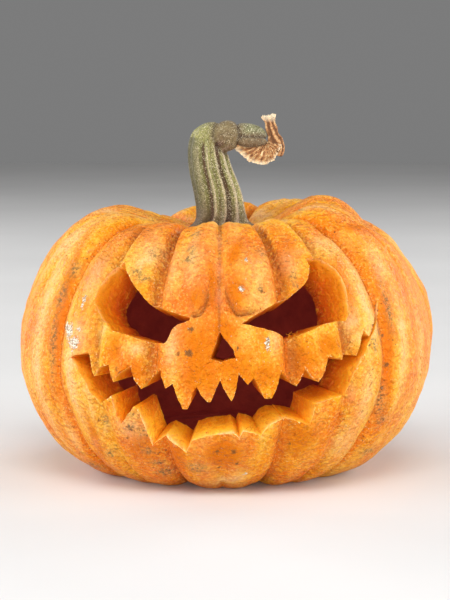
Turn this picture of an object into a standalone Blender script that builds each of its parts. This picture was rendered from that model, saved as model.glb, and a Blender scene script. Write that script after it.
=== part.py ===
"""Carved pumpkin lantern: a ribbed hollow pumpkin with a cut face, and its bent ridged stem.

Metres, +X to the right of the face, +Y away from the viewer, +Z up.
"""
import math

import bmesh
import bpy
from mathutils import Vector
from mathutils.bvhtree import BVHTree

# overall sizes
WAIST_Z = 0.093
REST = 0.0035
GAP = 0.0003

# half section of a rib crest, from the stem hollow to the blossom end
SECTION = [
    (0.000, 0.1775), (0.018, 0.1775), (0.038, 0.182), (0.058, 0.190), (0.076, 0.194),
    (0.095, 0.191), (0.112, 0.1805), (0.128, 0.163), (0.141, 0.138), (0.148, 0.114),
    (0.150, 0.092), (0.1475, 0.071), (0.139, 0.049), (0.126, 0.0285), (0.109, 0.0125),
    (0.092, 0.0035), (0.074, 0.000), (0.052, 0.002), (0.030, 0.010), (0.000, 0.014),
]

# creases between the ribs: azimuth at shoulder, waist and foot in degrees, and depth
CREASES = [
    (-0.5, -0.5, 1, 0.0040), (16, 17.5, 18.5, 0.013), (30.5, 34.5, 35, 0.0075),
    (49, 50, 48, 0.013), (67, 67, 67, 0.004), (84, 84, 84, 0.008), (102, 102, 102, 0.003),
    (121, 121, 121, 0.012), (139, 139, 139, 0.004), (158, 158, 158, 0.013),
    (182, 182, 182, 0.009), (208, 208, 208, 0.013), (224, 224, 224, 0.004),
    (241, 241, 241, 0.012), (259, 259, 259, 0.003), (278, 278, 278, 0.009),
    (293, 293, 293, 0.003), (307, 308, 309, 0.013), (325.5, 325.5, 327.5, 0.006),
    (342, 342.5, 344.5, 0.013),
]
CREASE_HEIGHTS = (0.2, 0.5, 0.85)
CREASE_SOFTNESS = 0.05
CAVITY_CREASE = 0.25

# wall thickness along the half section, from stem 0 to blossom end 1
WALL_ALONG = [(0.0, 0.028), (0.3, 0.032), (0.5, 0.031), (0.65, 0.026), (1.0, 0.026)]

# how far ribs stand off the mean section, by azimuth in degrees
SHOULDER_LIFT = [
    (0, -0.002), (33, 0.000), (66, 0.008), (100, 0.015), (130, 0.006), (160, 0.003),
    (182, 0.000), (200, -0.002), (216, -0.010), (250, 0.002), (285, 0.000), (324, -0.004),
]
SHOULDER_SLOPE = [(0, 0.0), (60, -0.005), (95, -0.016), (130, -0.006), (180, 0.0), (270, -0.001)]
WAIST_REACH = [(0, 0.0), (90, 0.0055), (180, 0.0), (270, -0.001)]

# how strongly each of these acts along the half section, from stem 0 to blossom end 1
CREASE_ALONG = [
    (0.0, 0.35), (0.12, 0.8), (0.25, 1.0), (0.4, 0.75), (0.55, 0.6), (0.7, 0.75),
    (0.85, 1.0), (0.95, 0.8), (1.0, 0.3),
]
LIFT_ALONG = [(0.0, 0.0), (0.08, 0.2), (0.2, 1.0), (0.3, 0.85), (0.42, 0.3), (0.55, 0.0), (1.0, 0.0)]
SLOPE_ALONG = [(0.0, 0.0), (0.17, 0.1), (0.25, 1.0), (0.33, 0.6), (0.42, 0.05), (0.5, 0.0), (1.0, 0.0)]

# the face is drawn on an upright sheet through the pumpkin's middle, ruled in steps,
# counted across from its left edge and down from its top
SHEET_STEP = 0.000737
SHEET_AXIS = (221.0, 345.0)
SIGHT_DISTANCE = 1.6
SIGHT_RISE = math.radians(8.0)
CUT_FORWARD = 0.025
CUT_FAR = 0.22
CUT_NEAR = 0.035

LEFT_EYE = [
    (94.5, 301), (95, 295), (97.7, 288.4), (103, 280), (109, 272), (118, 265.5), (124, 260.5),
    (125.3, 262), (126, 268), (130.5, 278.7), (136.3, 287), (142.5, 294), (150, 303),
    (158, 305.5), (169.4, 309.7), (180.4, 313.2), (190, 316.5), (189, 318.5),
    (177.6, 322.8), (172, 327.6), (168.7, 333.8), (166.6, 339.4), (163.8, 342),
    (152.8, 342), (139, 337.3), (125.3, 333.2), (111.5, 329), (108, 325), (101.5, 316),
]
RIGHT_EYE = [
    (241.8, 321.8), (247.4, 318.3), (255.9, 312.6), (267.2, 306.3), (277, 301), (284, 299),
    (291, 295), (298, 289), (303.8, 283), (308, 276.7), (309.8, 269.6), (309.5, 264),
    (306, 257), (311.6, 257.2), (319.4, 257.6), (326.4, 261.2), (335, 267.5), (341.2, 275.3),
    (345.4, 285), (347.6, 296.4), (348.3, 306.3), (347.6, 314.7), (345.4, 319.7),
    (336, 320), (325, 322.5), (308, 330.3), (291, 336.6), (284.8, 338), (282.7, 335),
    (277, 331.7), (264.4, 326.7), (248.8, 323.9),
]
NOSE = [
    (219.7, 330.3), (225, 338.7), (233, 346), (236, 357), (228, 358.2), (221, 361), (209.8, 357.4),
]
UPPER_TEETH = [
    (70.8, 355.4), (74.8, 353.5), (88, 351.4), (89.8, 354.6), (90.6, 361.5), (92, 369.6),
    (94.4, 375), (96.2, 369.6), (99.6, 365.6), (108.8, 362.7), (111.2, 375.4), (113.2, 380.5),
    (118.2, 372), (130.3, 365), (133.9, 378.5), (141.2, 387.6), (149.7, 378.5), (160.5, 367.6),
    (161.2, 376), (165.4, 387), (172.5, 382), (174.5, 387), (177.5, 396.6), (182.4, 407.5),
    (187.2, 407.5), (190.3, 400.3), (192.7, 390.6), (196.9, 385), (200.6, 393), (207.2, 400.5),
    (210.9, 400.5), (212.7, 396), (220, 379), (223.6, 387), (231.5, 400), (234.5, 394.2),
    (238.8, 373.3), (241.7, 376.5), (248, 383.2), (253.8, 376.5), (260, 387.4), (264.8, 397),
    (271.5, 397), (274.6, 392.3), (278.2, 381.3), (281.2, 370), (290.4, 380.7), (296.5, 385.2),
    (300, 380), (305.5, 366), (313.5, 377), (318.4, 380.4), (322, 376.5), (325, 368),
    (328.7, 355.2), (335.5, 356.4), (342, 358), (343.4, 352.7), (356.8, 354.3), (358.6, 348.5),
    (363.7, 329), (365.9, 332.6), (369, 334.6), (371.6, 330), (374.3, 320), (376.2, 299),
]
LOWER_TEETH = [
    (73, 359), (80, 372), (87, 383.5), (89.8, 390.4), (96.2, 397.3), (100.2, 402),
    (105.4, 398.5), (110.6, 394.4), (112.9, 403), (119.2, 424.4), (129.6, 410.6), (133.5, 405.5),
    (137.5, 407.5), (142.4, 419.7), (152.5, 443.5), (158, 439), (166, 434), (169, 438),
    (186.5, 451), (192, 439), (205.4, 434.8), (217.5, 433), (233.3, 431.8), (239.5, 437),
    (243.5, 430), (250, 430.5), (261, 434), (268.5, 424.5), (277, 419.7), (285.4, 416.6),
    (302.4, 421), (310, 423), (313.3, 413.6), (315, 402.7), (325.4, 399.7), (341.2, 393.6),
    (343.5, 394.3), (348.4, 384.5), (354.5, 371.2), (360.6, 360.3), (365.4, 350.6),
    (368, 342), (370.2, 336), (372.6, 330.4), (375.4, 320), (377, 300),
]

# stem: centre line (across, depth, height), radius and how deep its ridges are
STEM_LINE = [
    (0.001, 0.000, 0.1700, 0.0270, 0.26), (0.001, 0.000, 0.1790, 0.0222, 0.26),
    (0.001, 0.000, 0.1845, 0.0178, 0.22), (0.000, 0.000, 0.1920, 0.0162, 0.16),
    (-0.002, 0.000, 0.2040, 0.0160, 0.13), (-0.0045, 0.000, 0.2130, 0.0155, 0.12),
    (-0.007, 0.000, 0.2210, 0.0147, 0.12), (-0.009, 0.000, 0.2300, 0.0137, 0.12),
    (-0.010, 0.000, 0.2385, 0.0127, 0.12), (-0.0095, 0.000, 0.2470, 0.0115, 0.10),
    (-0.0085, -0.001, 0.2520, 0.0093, 0.08), (-0.007, -0.001, 0.2555, 0.0055, 0.06),
    (-0.006, -0.001, 0.2570, 0.0020, 0.06),
]
# ridges (1) and grooves (-1) round the stem, by azimuth halfway up
STEM_RIDGE_RING = [
    (3, -0.55), (16, 0.85), (27, -1.6), (45, 1.0), (62, -0.5), (76, 0.9), (104, -0.9), (130, 0.9),
    (151, -0.9), (173, 0.9), (196, -0.9), (220, 0.9), (242, -0.8), (262, 0.9), (284, -0.3), (305, 0.9),
    (322, 0.9), (340, -1.2), (351, 0.8),
]
STEM_TWIST = 38.0
KNUCKLE = ((0.0045, -0.004, 0.2470), (0.0105, 0.0110, 0.0112), math.radians(12.0))
ELBOW = ((0.0197, -0.003, 0.2488), (0.0138, 0.0085, 0.0072), math.radians(9.0))
ELBOW_LOBE = ((0.0205, -0.0065, 0.2435), (0.0128, 0.0062, 0.0048), math.radians(2.0))

# dried fan at the stem's torn end: direction in degrees and reach, about its root
FAN_ROOT = (0.0330, -0.003, 0.2430)
FAN_EDGE = [
    (176, 0.0290), (184, 0.0285), (194, 0.0235), (200, 0.0218), (209, 0.0205), (219, 0.0195), (228, 0.0195),
    (239, 0.0180), (249, 0.0175), (259, 0.0170), (269, 0.0168), (280, 0.0150), (291, 0.0150),
    (303, 0.0128), (317, 0.0118), (332, 0.0112), (348, 0.0110),
]
FAN_THICKNESS = 0.0018
FAN_PLEAT = 0.0011
FAN_CUP = 0.006

# dried strip that stands up from the fan: centre line and half widths
STRIP_LINE = [
    (0.0395, -0.004, 0.2330, 0.0035), (0.0415, -0.004, 0.2390, 0.0045), (0.0385, -0.003, 0.2450, 0.0046),
    (0.0365, -0.002, 0.2515, 0.0036), (0.0355, -0.001, 0.2570, 0.0036), (0.0345, 0.000, 0.2620, 0.0046),
]
STRIP_THICKNESS = 0.0012


def above_rest(x, y, z):
    """Point given above the ribs' lowest line, counted from the plane the pumpkin rests on."""
    return Vector((x, y, z - REST))


def scene_collection(name):
    group = bpy.data.collections.new(name)
    bpy.context.scene.collection.children.link(group)
    return group


def table(rows, x):
    """Value at x in a table of (x, value) rows, straight between them."""
    for (x0, y0), (x1, y1) in zip(rows, rows[1:]):
        if x <= x1:
            return y0 + (y1 - y0) * (x - x0) / (x1 - x0)
    return rows[-1][1]


def round_table(rows, degrees):
    """Value at a compass direction in a closed table, eased between its rows."""
    degrees %= 360.0
    ring = [(rows[-1][0] - 360.0, rows[-1][1])] + list(rows) + [(rows[0][0] + 360.0, rows[0][1])]
    for (a0, y0), (a1, y1) in zip(ring, ring[1:]):
        if degrees <= a1:
            s = (degrees - a0) / (a1 - a0)
            return y0 + (y1 - y0) * s * s * (3.0 - 2.0 * s)
    return rows[-1][1]


def smooth_line(points, steps):
    """Catmull-Rom line through points of any dimension, with a number of steps per span."""
    ends = [points[0]] + list(points) + [points[-1]]
    line = []
    for k in range(len(points) - 1):
        p0, p1, p2, p3 = ends[k:k + 4]
        for j in range(steps):
            s = j / steps
            line.append(tuple(
                b + 0.5 * s * (c - a + s * (2 * a - 5 * b + 4 * c - d + s * (3 * (b - c) + d - a)))
                for a, b, c, d in zip(p0, p1, p2, p3)))
    line.append(tuple(points[-1]))
    return line


def by_length(line, count):
    """The same line with points at even distances."""
    reach = [0.0]
    for p, q in zip(line, line[1:]):
        reach.append(reach[-1] + math.dist(p, q))
    spaced = []
    k = 0
    for j in range(count + 1):
        want = reach[-1] * j / count
        while k < len(line) - 2 and reach[k + 1] < want:
            k += 1
        s = (want - reach[k]) / (reach[k + 1] - reach[k])
        spaced.append(tuple(a + (b - a) * s for a, b in zip(line[k], line[k + 1])))
    return spaced


SECTION_STEPS = 600
SECTION_LINE = by_length(smooth_line(SECTION, 24), SECTION_STEPS)


def section(t):
    """Radius, height and outward normal of the crest section at t, 0 at the stem to 1 below."""
    k = min(max(int(round(t * SECTION_STEPS)), 0), SECTION_STEPS)
    r, z = SECTION_LINE[k]
    r0, z0 = SECTION_LINE[max(k - 4, 0)]
    r1, z1 = SECTION_LINE[min(k + 4, SECTION_STEPS)]
    length = math.hypot(r1 - r0, z1 - z0)
    return r, z, (z0 - z1) / length, (r1 - r0) / length


def crease_lines(t):
    """Azimuth and depth of every crease at t, once round and closed."""
    lines = []
    for shoulder, waist, foot, depth in CREASES:
        path = list(zip(CREASE_HEIGHTS, (shoulder, waist, foot)))
        lines.append((table(path, max(t, CREASE_HEIGHTS[0])), depth))
    return lines + [(lines[0][0] + 360.0, lines[0][1])]


def crease_fall(s):
    """1 in a crease, falling round a rib's shoulder to 0 at the next crease."""
    s = min(math.hypot(s, CREASE_SOFTNESS), 1.0)
    return 1.0 - math.sqrt(1.0 - (1.0 - s) ** 2)


def skin(rib, s, t, inset, crease):
    """Point below the skin: s from 0 to 1 across a rib span, t from stem to blossom end."""
    lines = crease_lines(t)
    a0, d0 = lines[rib]
    a1, d1 = lines[rib + 1]
    degrees = a0 + (a1 - a0) * s
    r, z, nr, nz = section(t)
    out = -inset
    out -= crease * table(CREASE_ALONG, t) * (d0 * crease_fall(s) + d1 * crease_fall(1.0 - s))
    out += round_table(SHOULDER_LIFT, degrees) * table(LIFT_ALONG, t)
    out += round_table(SHOULDER_SLOPE, degrees) * table(SLOPE_ALONG, t)
    reach = round_table(WAIST_REACH, degrees) * min(r / 0.15, 1.0)
    r = max(r + nr * out + reach, 0.0)
    a = math.radians(degrees)
    return Vector((r * math.sin(a), -r * math.cos(a), max(z + nz * out, REST + inset) - REST))


def ball(name, around, along, place):
    """Closed skin grown from a ball: every ball vertex moves to place(index round, t)."""
    bm = bmesh.new()
    bmesh.ops.create_uvsphere(bm, u_segments=around, v_segments=along, radius=1.0)
    for vert in bm.verts:
        turn = math.atan2(vert.co.x, -vert.co.y) / math.tau % 1.0
        j = int(round(turn * around)) % around
        t = math.acos(max(-1.0, min(1.0, vert.co.z))) / math.pi
        vert.co = place(j, t)
    bmesh.ops.recalc_face_normals(bm, faces=bm.faces)
    mesh = bpy.data.meshes.new(name)
    bm.to_mesh(mesh)
    bm.free()
    return bpy.data.objects.new(name, mesh)


def gourd(name, per_rib, along, inset, crease):
    """Ribbed pumpkin body, inset from the skin by a table of distances along the half section."""
    def place(j, t):
        part = (j % per_rib) / per_rib
        s = 0.6 * (0.5 - 0.5 * math.cos(math.pi * part)) + 0.4 * part
        return skin(j // per_rib, s, t, table(inset, t), crease)

    return ball(name, per_rib * len(CREASES), along, place)


def skin_points(body, drawing):
    """Drawing points carried to the skin along the lines of sight."""
    bm = bmesh.new()
    bm.from_mesh(body.data)
    tree = BVHTree.FromBMesh(bm)
    bm.free()
    back = Vector((0.0, -math.cos(SIGHT_RISE), math.sin(SIGHT_RISE)))
    rise = Vector((0.0, math.sin(SIGHT_RISE), math.cos(SIGHT_RISE)))
    middle = Vector((0.0, 0.0, WAIST_Z - REST))
    eye = middle + back * SIGHT_DISTANCE
    points = []
    for across, down in drawing:
        mark = middle + Vector((across - SHEET_AXIS[0], 0.0, 0.0)) * SHEET_STEP
        mark += rise * (SHEET_AXIS[1] - down) * SHEET_STEP
        hit = tree.ray_cast(eye, (mark - eye).normalized())[0]
        points.append(hit)
    return points


def face_cut(name, body, drawing):
    """Tapering knife cut through the wall, from in front of the skin toward the hollow."""
    middle = Vector((0.0, -CUT_FORWARD, WAIST_Z - REST))
    bm = bmesh.new()
    ring = []
    for point in skin_points(body, drawing):
        ray = point - middle
        ring.append(bm.verts.new(middle + ray * (CUT_FAR / -ray.y)))
    front = bm.faces.new(ring)
    grown = bmesh.ops.extrude_face_region(bm, geom=[front], use_keep_orig=True)
    for item in grown["geom"]:
        if isinstance(item, bmesh.types.BMVert):
            item.co = middle + (item.co - middle) * (CUT_NEAR / CUT_FAR)
    bmesh.ops.recalc_face_normals(bm, faces=bm.faces)
    mesh = bpy.data.meshes.new(name)
    bm.to_mesh(mesh)
    bm.free()
    return bpy.data.objects.new(name, mesh)


def stem_shaft(name, around, along):
    """Ridged, twisting shaft on the stem line, closed at both ends."""
    line = by_length(smooth_line(STEM_LINE, 12), along)

    def place(j, t):
        k = int(round(t * along))
        x, y, z, radius, ridge = line[along - k]
        turn = math.tau * j / around
        if k == 0 or k == along:
            return above_rest(x, y, z)
        radius *= 1.0 + ridge * round_table(STEM_RIDGE_RING, math.degrees(turn) + STEM_TWIST * (t - 0.45))
        return above_rest(x + radius * math.sin(turn), y - radius * math.cos(turn), z)

    return ball(name, around, along, place)


def oval_ball(name, around, along, oval):
    """Rounded lump given by centre, half sizes and tilt in the view from the front."""
    centre, half, tilt = oval

    def place(j, t):
        turn = math.tau * j / around
        x = half[0] * math.sin(turn) * math.sin(math.pi * t)
        y = -half[1] * math.cos(turn) * math.sin(math.pi * t)
        z = half[2] * math.cos(math.pi * t)
        across = x * math.cos(tilt) + z * math.sin(tilt)
        return above_rest(*centre) + Vector((across, y, z * math.cos(tilt) - x * math.sin(tilt)))

    return ball(name, around, along, place)


def fan_sheet(name, rings):
    """Pleated dried fan: a thick sheet spreading from its root."""
    bm = bmesh.new()
    rows = []
    for k, (degrees, reach) in enumerate(FAN_EDGE):
        a = math.radians(degrees)
        row = []
        for j in range(rings + 1):
            s = 0.12 + 0.88 * j / rings
            pleat = FAN_PLEAT * s * (1 if k % 2 else -1)
            depth = pleat - FAN_CUP * s * s + FAN_CUP * 0.5 * s
            row.append(bm.verts.new(above_rest(*FAN_ROOT) + Vector((
                reach * s * math.cos(a), depth, reach * s * math.sin(a)))))
        rows.append(row)
    for row, after in zip(rows, rows[1:]):
        for j in range(rings):
            bm.faces.new((row[j], row[j + 1], after[j + 1], after[j]))
    bmesh.ops.recalc_face_normals(bm, faces=bm.faces)
    mesh = bpy.data.meshes.new(name)
    bm.to_mesh(mesh)
    bm.free()
    fan = bpy.data.objects.new(name, mesh)
    solid = fan.modifiers.new("thickness", "SOLIDIFY")
    solid.thickness = FAN_THICKNESS
    solid.offset = 0.0
    solid.use_even_offset = False
    return fan


def strip_tube(name, around, along):
    """Flat dried strip on its own line, closed at both ends."""
    line = by_length(smooth_line(STRIP_LINE, 8), along)

    def place(j, t):
        k = int(round(t * along))
        x, y, z, half = line[along - k]
        turn = math.tau * j / around
        if k == 0 or k == along:
            return above_rest(x, y, z)
        across = half * math.sin(turn)
        return above_rest(x + across, y - STRIP_THICKNESS * math.cos(turn) + 0.25 * across, z)

    return ball(name, around, along, place)


def material(name, colour, roughness):
    mat = bpy.data.materials.new(name)
    mat.use_nodes = True
    shader = mat.node_tree.nodes["Principled BSDF"]
    shader.inputs["Base Color"].default_value = (*colour, 1.0)
    shader.inputs["Roughness"].default_value = roughness
    return mat


def hide_cutter(obj, group):
    group.objects.link(obj)
    obj.hide_render = True
    obj.display_type = "WIRE"


def cut(target, tool, how="DIFFERENCE"):
    step = target.modifiers.new(tool.name, "BOOLEAN")
    step.operation = how
    step.solver = "MANIFOLD"
    step.object = tool


def main():
    for obj in list(bpy.data.objects):
        bpy.data.objects.remove(obj)
    parts = scene_collection("carved_pumpkin_lantern")
    tools = scene_collection("cutters")

    pumpkin = gourd("pumpkin", 5, 36, [(0.0, 0.0), (1.0, 0.0)], 1.0)
    parts.objects.link(pumpkin)
    pumpkin.data.materials.append(material("rind", (0.85, 0.34, 0.05), 0.45))
    hollow = gourd("hollow", 3, 20, WALL_ALONG, CAVITY_CREASE)
    hide_cutter(hollow, tools)
    cut(pumpkin, hollow)
    drawings = {
        "eye_left_cut": LEFT_EYE,
        "eye_right_cut": RIGHT_EYE,
        "nose_cut": NOSE,
        "mouth_cut": UPPER_TEETH + LOWER_TEETH[::-1],
    }
    for name, drawing in drawings.items():
        tool = face_cut(name, pumpkin, drawing)
        hide_cutter(tool, tools)
        cut(pumpkin, tool)

    stem = stem_shaft("stem", 54, 18)
    parts.objects.link(stem)
    stem.data.materials.append(material("stem_bark", (0.30, 0.30, 0.16), 0.8))
    lumps = [
        oval_ball("knuckle", 14, 8, KNUCKLE),
        oval_ball("elbow", 14, 8, ELBOW),
        oval_ball("elbow_lobe", 12, 7, ELBOW_LOBE),
        fan_sheet("fan", 2),
        strip_tube("strip", 8, 9),
    ]
    for lump in lumps:
        hide_cutter(lump, tools)
        cut(stem, lump, "UNION")
    crown = gourd("crown", 5, 36, [(0.0, -GAP), (1.0, -GAP)], 1.0)
    hide_cutter(crown, tools)
    cut(stem, crown)

    low = [min(vert.co[k] for vert in pumpkin.data.vertices) for k in range(2)]
    high = [max(vert.co[k] for vert in pumpkin.data.vertices) for k in range(2)]
    for obj in list(parts.objects) + list(tools.objects):
        obj.location = (-0.5 * (low[0] + high[0]), -0.5 * (low[1] + high[1]), 0.0)


main()
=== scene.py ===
"""Carved pumpkin lantern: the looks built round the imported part."""

import math

import bmesh
import bpy
import numpy as np
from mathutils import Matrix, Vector, noise
from mathutils.bvhtree import BVHTree
from mathutils.kdtree import KDTree


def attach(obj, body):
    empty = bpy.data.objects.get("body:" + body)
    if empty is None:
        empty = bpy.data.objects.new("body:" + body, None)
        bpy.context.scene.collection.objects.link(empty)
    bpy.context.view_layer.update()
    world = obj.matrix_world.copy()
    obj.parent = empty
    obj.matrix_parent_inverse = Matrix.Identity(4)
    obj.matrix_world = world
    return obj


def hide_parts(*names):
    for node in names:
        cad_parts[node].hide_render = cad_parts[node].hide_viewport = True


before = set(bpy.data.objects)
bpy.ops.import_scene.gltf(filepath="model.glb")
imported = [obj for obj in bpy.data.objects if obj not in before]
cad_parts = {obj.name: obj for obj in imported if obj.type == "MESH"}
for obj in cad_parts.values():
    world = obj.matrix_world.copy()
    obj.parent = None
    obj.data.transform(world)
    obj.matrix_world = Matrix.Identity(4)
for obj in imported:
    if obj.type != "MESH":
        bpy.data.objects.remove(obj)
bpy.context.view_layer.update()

# Form of the ribbed body, as in the part's source: metres, and degrees of azimuth from the front
WAIST_Z = 0.093
WAIST_RADIUS = 0.15
REST = 0.0035
CENTRE = (-0.00392, 0.00055)
SECTION = [
    (0.000, 0.1775), (0.018, 0.1775), (0.038, 0.182), (0.058, 0.190), (0.076, 0.194),
    (0.095, 0.191), (0.112, 0.1805), (0.128, 0.163), (0.141, 0.138), (0.148, 0.114),
    (0.150, 0.092), (0.1475, 0.071), (0.139, 0.049), (0.126, 0.0285), (0.109, 0.0125),
    (0.092, 0.0035), (0.074, 0.000), (0.052, 0.002), (0.030, 0.010), (0.000, 0.014),
]
# creases between the ribs: azimuth at three heights, and depth
CREASES = [
    (-0.5, -0.5, 1, 0.0040), (16, 17.5, 18.5, 0.013), (30.5, 34.5, 35, 0.0075),
    (49, 50, 48, 0.013), (67, 67, 67, 0.004), (84, 84, 84, 0.008), (102, 102, 102, 0.003),
    (121, 121, 121, 0.012), (139, 139, 139, 0.004), (158, 158, 158, 0.013),
    (182, 182, 182, 0.009), (208, 208, 208, 0.013), (224, 224, 224, 0.004),
    (241, 241, 241, 0.012), (259, 259, 259, 0.003), (278, 278, 278, 0.009),
    (293, 293, 293, 0.003), (307, 308, 309, 0.013), (325.5, 325.5, 327.5, 0.006),
    (342, 342.5, 344.5, 0.013),
]
CREASE_HEIGHTS = (0.2, 0.5, 0.85)
CREASE_SOFTNESS = 0.02
# CREASE_LINE: half width of the painted shade line down each crease; LINED_CREASE: the crease depth that
# makes it darkest
CREASE_LINE = 0.0011
DEEPEST_CREASE = 0.013
LINED_CREASE = 0.010
CAVITY_CREASE = 0.25
# tables against the fraction of the way down the section, or against azimuth
FLUSH = [(0.0, 0.0), (1.0, 0.0)]
WALL_ALONG = [(0.0, 0.028), (0.3, 0.032), (0.5, 0.031), (0.65, 0.026), (1.0, 0.026)]
SHOULDER_LIFT = [
    (0, -0.002), (33, 0.000), (66, 0.008), (100, 0.015), (130, 0.006), (160, 0.003),
    (182, 0.000), (200, -0.002), (216, -0.010), (250, 0.002), (285, 0.000), (324, -0.004),
]
SHOULDER_SLOPE = [(0, 0.0), (60, -0.005), (95, -0.016), (130, -0.006), (180, 0.0), (270, -0.001)]
WAIST_REACH = [(0, 0.0), (90, 0.0055), (180, 0.0), (270, -0.001)]
CREASE_ALONG = [
    (0.0, 0.35), (0.12, 0.8), (0.25, 1.0), (0.4, 0.75), (0.55, 0.6), (0.7, 0.75),
    (0.85, 1.0), (0.95, 0.8), (1.0, 0.3),
]
LIFT_ALONG = [(0.0, 0.0), (0.08, 0.2), (0.2, 1.0), (0.3, 0.85), (0.42, 0.3), (0.55, 0.0), (1.0, 0.0)]
SLOPE_ALONG = [(0.0, 0.0), (0.17, 0.1), (0.25, 1.0), (0.33, 0.6), (0.42, 0.05), (0.5, 0.0), (1.0, 0.0)]

# The sheet across the pumpkin's middle that marks are drawn on: one step is one pixel of the photo
SHEET_STEP = 0.000737
SHEET_AXIS = (221.0, 343.5)
SIGHT_DISTANCE = 1.6
SIGHT_RISE = math.radians(8.0)
SIGHT_BACK = Vector((0.0, -math.cos(SIGHT_RISE), math.sin(SIGHT_RISE)))
SIGHT_UP = Vector((0.0, math.sin(SIGHT_RISE), math.cos(SIGHT_RISE)))
MIDDLE = Vector((0.0, 0.0, WAIST_Z - REST))
EYE = MIDDLE + SIGHT_BACK * SIGHT_DISTANCE
UPRIGHT = Vector((0.0, 0.0, 1.0))

# The cuts of the face taper toward a point in the hollow
CUT_FORWARD = 0.025
CUT_POINT = MIDDLE - Vector((0.0, CUT_FORWARD, 0.0))
CUT_FAR = 0.22
CUT_NEAR = 0.035
# rows of points down a cut's wall, as shares of the way out to the skin
CUT_ROWS = np.concatenate([np.linspace(0.60, 0.96, 13), [0.985, 1.0, 1.015, 1.04]])
# outlines on the sheet: across, down
LEFT_EYE = [
    (94.5, 301), (95, 295), (97.7, 288.4), (103, 280), (109, 272), (118, 265.5), (124, 260.5),
    (125.3, 262), (126, 268), (130.5, 278.7), (136.3, 287), (142.5, 294), (150, 303),
    (158, 305.5), (169.4, 309.7), (180.4, 313.2), (190, 316.5), (189, 318.5),
    (177.6, 322.8), (172, 327.6), (168.7, 333.8), (166.6, 339.4), (163.8, 342),
    (152.8, 342), (139, 337.3), (125.3, 333.2), (111.5, 329), (108, 325), (101.5, 316),
]
RIGHT_EYE = [
    (241.8, 321.8), (247.4, 318.3), (255.9, 312.6), (267.2, 306.3), (277, 301), (284, 299),
    (291, 295), (298, 289), (303.8, 283), (308, 276.7), (309.8, 269.6), (309.5, 264),
    (306, 257), (311.6, 257.2), (319.4, 257.6), (326.4, 261.2), (335, 267.5), (341.2, 275.3),
    (345.4, 285), (347.6, 296.4), (348.3, 306.3), (347.6, 314.7), (345.4, 319.7),
    (336, 320), (325, 322.5), (308, 330.3), (291, 336.6), (284.8, 338), (282.7, 335),
    (277, 331.7), (264.4, 326.7), (248.8, 323.9),
]
NOSE = [
    (219.7, 330.3), (224, 336.8), (229.5, 343), (233.2, 348.5), (236, 357), (228, 358.2), (221, 361),
    (209.8, 357.4),
]
UPPER_TEETH = [
    (70.8, 355.4), (74.8, 353.5), (88, 351.4), (89.8, 354.6), (90.6, 361.5), (92, 369.6),
    (94.4, 375), (96.2, 369.6), (99.6, 365.6), (108.8, 362.7), (111.2, 375.4), (113.2, 380.5),
    (118.2, 372), (130.3, 365), (133.9, 378.5), (141.2, 387.6), (149.7, 378.5), (160.5, 367.6),
    (161.2, 376), (165.4, 387), (172.5, 382), (174.5, 387), (177.5, 396.6), (182.4, 407.5),
    (187.2, 407.5), (190.3, 400.3), (192.7, 390.6), (196.9, 385), (200.6, 393), (207.2, 400.5),
    (210.9, 400.5), (212.7, 396), (220, 379), (223.6, 387), (231.5, 400), (234.5, 394.2),
    (238.8, 373.3), (241.7, 376.5), (248, 383.2), (253.8, 376.5), (260, 387.4), (264.8, 397),
    (271.5, 397), (274.6, 392.3), (278.2, 381.3), (281.2, 370), (290.4, 380.7), (296.5, 385.2),
    (300, 380), (305.5, 366), (313.5, 377), (318.4, 380.4), (322, 376.5), (325, 368),
    (328.7, 355.2), (335.5, 356.4), (342, 358), (343.4, 352.7), (356.8, 354.3), (358.6, 348.5),
    (363.7, 329), (365.9, 332.6), (369, 334.6), (371.4, 330), (374.1, 320), (376.0, 298),
]
LOWER_TEETH = [
    (73, 359), (80, 372), (87, 383.5), (89.8, 390.4), (96.2, 397.3), (100.2, 402),
    (105.4, 398.5), (110.6, 394.4), (112.9, 403), (119.2, 424.4), (129.6, 410.6), (133.5, 405.5),
    (137.5, 407.5), (142.4, 419.7), (152.5, 443.5), (158, 439), (166, 434), (169, 438),
    (186.5, 451), (192, 439), (205.4, 434.8), (217.5, 433), (233.3, 431.8), (239.5, 437),
    (243.5, 430), (250, 430.5), (261, 434), (268.5, 424.5), (277, 419.7), (285.4, 416.6),
    (302.4, 421), (310, 423), (313.3, 413.6), (315, 402.7), (325.4, 399.7), (341.2, 393.6),
    (343.5, 394.3), (348.4, 384.5), (354.5, 371.2), (360.6, 360.3), (365.4, 350.6),
    (368, 342), (370.2, 336), (373.4, 330.4), (376.8, 320), (378.4, 298),
]
# name, drawing, pitch of the points, depth of the tool marks, seed, how far aside the taper's point is
CUTS = [
    ("eye_left_cut", LEFT_EYE, 0.0018, 0.0007, 11, 0.0),
    ("eye_right_cut", RIGHT_EYE, 0.0018, 0.0007, 12, 0.0),
    ("nose_cut", NOSE, 0.0014, 0.0003, 13, 0.009),
    ("mouth_cut", UPPER_TEETH + LOWER_TEETH[::-1], 0.0018, 0.0006, 14, 0.0),
]

# Fine form of the skin: heights and depths in metres, and where along the ribs it shows
MEAN_RADIUS = 0.14
BROW_SEAM = -0.5
OVERLAP_STEP = 0.0018
BAND_DEPTH = 0.0020
BAND_GROOVE = 0.0011
BAND_EDGES = 0.0006
LOBE_SWELL = 0.0046
BESIDE_LOBE = 0.0010
FOLD_GROOVE = 0.0022
CREASE_DEEPER = 0.0018
CORK_RAISED = 0.0003
DENT_DEPTH = 0.0012
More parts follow.
